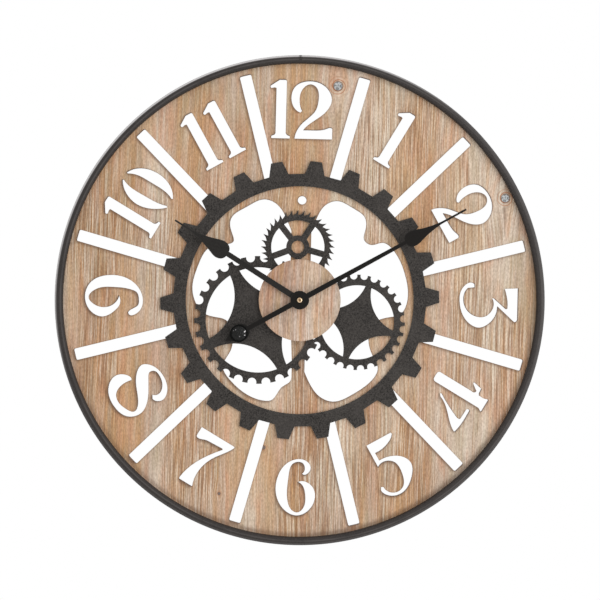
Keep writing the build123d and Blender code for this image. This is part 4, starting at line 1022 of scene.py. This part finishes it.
# Boss on the tail of the minute hand: a hammered dome inside a beaded edge. The marks fade
# towards the edge by a power of the radius
MINUTE_HAND_TURN = 60.0
TAIL_REACH = 84.3
TAIL_FRONT = 47.1
TAIL_TURN = Matrix.Rotation(math.radians(-MINUTE_HAND_TURN), 4, "Z")
TAIL_PLACE = TAIL_TURN @ Matrix.Translation((0, -TAIL_REACH, TAIL_FRONT))
DOME_RADIUS = 9.8
DOME_RISE = 1.7
DOME_RINGS = 20
DOME_STEPS = 64
DOME_DIMPLE = 0.22
DIMPLE_POWER = 4
# Hammer marks: share, then two waves that cross, each with its radians per millimetre to the
# right and up, and its start
HAMMER_MARKS = (
    (1.0, (1.5, 0.0, 0.9), (0.5, 1.4, 0.0)),
    (0.6, (2.1, 0.3, 0.0), (-1.1, 0.8, 2.0)),
)
EDGE_RADIUS = 9.9
EDGE_WIRE = 1.0
EDGE_HEIGHT = 0.7
EDGE_SWELL = 0.2
EDGE_BEADS = 22
EDGE_BEAD_STEPS = 8
EDGE_CORNERS = 12


def tail_dome(work):
    """Low dome with hammer marks."""
    rings = []
    for number in range(1, DOME_RINGS + 1):
        share = number / DOME_RINGS
        row = []
        for step in range(DOME_STEPS):
            right, up = around(AXIS, DOME_RADIUS * share, 360 * step / DOME_STEPS)
            marks = 0.0
            for weight, *waves in HAMMER_MARKS:
                first, second = (math.sin(a * right + b * up + start) for a, b, start in waves)
                marks += weight * first * second
            rise = DOME_RISE * math.cos(0.5 * math.pi * share)
            rise += DOME_DIMPLE * marks * (1 - share ** DIMPLE_POWER)
            row.append(work.verts.new(TAIL_PLACE @ Vector((right, up, max(rise, 0)))))
        rings.append(row)
    top = work.verts.new(TAIL_PLACE @ Vector((0, 0, DOME_RISE)))
    for step in range(DOME_STEPS):
        after = (step + 1) % DOME_STEPS
        work.faces.new((top, rings[0][step], rings[0][after]))
        for low, high in zip(rings, rings[1:]):
            work.faces.new((low[step], high[step], high[after], low[after]))


def tail_bead(work):
    """Beaded wire round the dome."""
    count = EDGE_BEADS * EDGE_BEAD_STEPS
    rings = []
    for step in range(count):
        wave = math.cos(2 * math.pi * step / EDGE_BEAD_STEPS)
        swell = EDGE_WIRE * (1 - EDGE_SWELL + EDGE_SWELL * wave)
        ring = []
        for corner in range(EDGE_CORNERS):
            section = around((EDGE_RADIUS, EDGE_HEIGHT), swell, 360 * corner / EDGE_CORNERS)
            spot = Vector((*around(AXIS, section[0], 360 * step / count), section[1]))
            ring.append(work.verts.new(TAIL_PLACE @ spot))
        rings.append(ring)
    bridge_round(work, rings)


add_piece("tail_dome", tail_dome, dish_paint, "minute")
add_piece("tail_bead", tail_bead, drop_paint, "minute")

# Knurled setting knob: grooves in the part of its profile that lies outside a radius
KNOB_OFFSET = 10.5
KNOB_TURN = 20.0
KNOB_CENTER = around(AXIS, KNOB_OFFSET, KNOB_TURN)
KNOB_RIDGES = 36
RIDGE_STEPS = 4
GROOVE_STEPS = 2
GROOVE_DEPTH = 0.3
GROOVE_FROM = 5.4
KNOB_PROFILE = (
    (0.7, 2.1), (5.3, 2.1), (5.95, 1.85), (5.95, 0.95), (5.5, 0.65), (4.3, 0.62), (3.9, 0.95),
    (1.9, 0.95), (1.6, 0.62), (0.7, 0.62),
)


def setting_knob(work):
    """Wheel with a ridged edge and a dished face."""
    rings = []
    count = RIDGE_STEPS * KNOB_RIDGES
    for radius, depth in KNOB_PROFILE:
        ring = []
        for step in range(count):
            grooved = radius > GROOVE_FROM and step % RIDGE_STEPS < GROOVE_STEPS
            reach = radius - GROOVE_DEPTH if grooved else radius
            spot = around(KNOB_CENTER, reach, 360 * step / count)
            ring.append(work.verts.new((*spot, depth)))
        rings.append(ring)
    bridge_round(work, rings)


knob = add_piece("knurled_knob", setting_knob, case_plastic, "motion", smooth=False)
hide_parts("setting_knob")

# Cell with crimped ends, along the depth axis until it is turned
cell_low, cell_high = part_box("battery")
CELL_STEPS = 48
CELL_CORNER = 40.0
CELL_PROFILE = (
    (0, 0.25), (4.3, 0.25), (4.6, 0.0), (5.6, 0.0), (5.9, 0.3), (6.6, 0.3), (7.0, 0.55),
    (7.1, 1.0), (7.1, 48.3), (7.0, 48.8), (6.6, 49.05), (6.2, 48.9), (5.6, 49.3), (3.4, 49.4),
    (2.75, 49.6), (2.75, 50.25), (2.5, 50.5), (0, 50.5),
)


def crimped_cell(work):
    lathe(work, CELL_PROFILE, CELL_STEPS)
    middle = (cell_low + cell_high) / 2 / MM
    turned = Matrix.Rotation(math.radians(90), 4, "Y")
    end = (cell_low.x / MM, middle.z - DIAL_HEIGHT, ORIGIN_DEPTH - middle.y)
    bmesh.ops.transform(work, matrix=Matrix.Translation(end) @ turned, verts=work.verts)


cell = add_piece("crimped_cell", crimped_cell, cell_wrap, "frame")
split_corners(cell, CELL_CORNER)
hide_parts("battery")

# Camera near the dial's axis; the clock hangs a little clockwise in the picture. Picture and
# clock centre in pixels, pixel size, distance and sensor in millimetres, roll in degrees
PICTURE = 600
CLOCK_PIXEL = (299.7, 300.2)
PIXEL_SIZE = 1.2265
CAMERA_FAR = 2300.0
CAMERA_ROLL = 1.4
SENSOR = 36.0

camera_data = bpy.data.cameras.new("camera")
camera_data.sensor_width = SENSOR
camera_data.lens = SENSOR * CAMERA_FAR / (PICTURE * PIXEL_SIZE)
camera = bpy.data.objects.new("camera", camera_data)
bpy.context.scene.collection.objects.link(camera)
camera_right = (PICTURE / 2 - CLOCK_PIXEL[0]) * PIXEL_SIZE
camera_up = (CLOCK_PIXEL[1] - PICTURE / 2) * PIXEL_SIZE
camera_place = point(camera_right, camera_up, BOARD_FRONT + CAMERA_FAR)
upright = Matrix.Rotation(math.radians(90), 4, "X")
rolled = Matrix.Rotation(math.radians(CAMERA_ROLL), 4, "Z")
camera.matrix_world = Matrix.Translation(camera_place) @ upright @ rolled
bpy.context.scene.camera = camera
bpy.context.scene.view_settings.view_transform = "Standard"

# Light: an even white room, a large soft lamp from the right and a weaker one behind the clock.
# Lamps: place on the dial in millimetres, size in metres and power
ROOM_LIGHT = 0.7
LAMPS = (((1900.0, 450.0, 2100.0), 3.2, 60.0), ((-1500.0, 900.0, -2100.0), 3.2, 34.0))

room = Graph("room", "worlds", "Background")
rays = room.add("LightPath", {}).outputs
seen = rays["Is Camera Ray"]
for kind in ("Is Glossy Ray", "Is Transmission Ray"):
    seen = room.math("MAXIMUM", seen, rays[kind])
strength = room.add("MapRange", {"Value": seen, "To Min": ROOM_LIGHT}).outputs[0]
bpy.context.scene.world = room.finish(color=WHITE, strength=strength)

for number, (place, size, power) in enumerate(LAMPS):
    lamp_data = bpy.data.lights.new(f"lamp_{number}", "AREA")
    lamp_data.energy = power
    lamp_data.size = size
    lamp = bpy.data.objects.new(f"lamp_{number}", lamp_data)
    bpy.context.scene.collection.objects.link(lamp)
    lamp.location = point(*place)
    aim = point(*AXIS, BOARD_FRONT) - lamp.location
    lamp.rotation_euler = aim.to_track_quat("-Z", "Y").to_euler()
    lamp.visible_camera = False

# Floor, well below the clock, that fades out into the white room: height and half size in
# metres, where the fade begins and ends, and fibres per metre
FLOOR_HEIGHT = -1.2
FLOOR_HALF = 2.2
FADE_START = 0.35 * FLOOR_HALF
FADE_END = 0.95 * FLOOR_HALF
FIBER_SCALE = 400.0
FLOOR_CORNERS = ((-1, -1), (1, -1), (1, 1), (-1, 1))

floor_mesh = bpy.data.meshes.new("floor")
corners = [(x * FLOOR_HALF, y * FLOOR_HALF, FLOOR_HEIGHT) for x, y in FLOOR_CORNERS]
floor_mesh.from_pydata(corners, [], [(0, 1, 2, 3)])
floor = bpy.data.objects.new("floor", floor_mesh)
bpy.context.scene.collection.objects.link(floor)
floor_look = Graph("floor_paper")
fibers = floor_look.span(floor_look.noise(floor_look.surface(), FIBER_SCALE), *NOISE_RANGE)
paper = floor_look.mix(fibers, tint(236, 236, 234), tint(244, 244, 242))
reach = floor_look.length(*floor_look.place()[:2])
fade = floor_look.span(reach, FADE_START, FADE_END, 1.0, 0.0)
floor_mesh.materials.append(floor_look.finish(base_color=paper, roughness=0.9, alpha=fade))

bpy.context.view_layer.update()
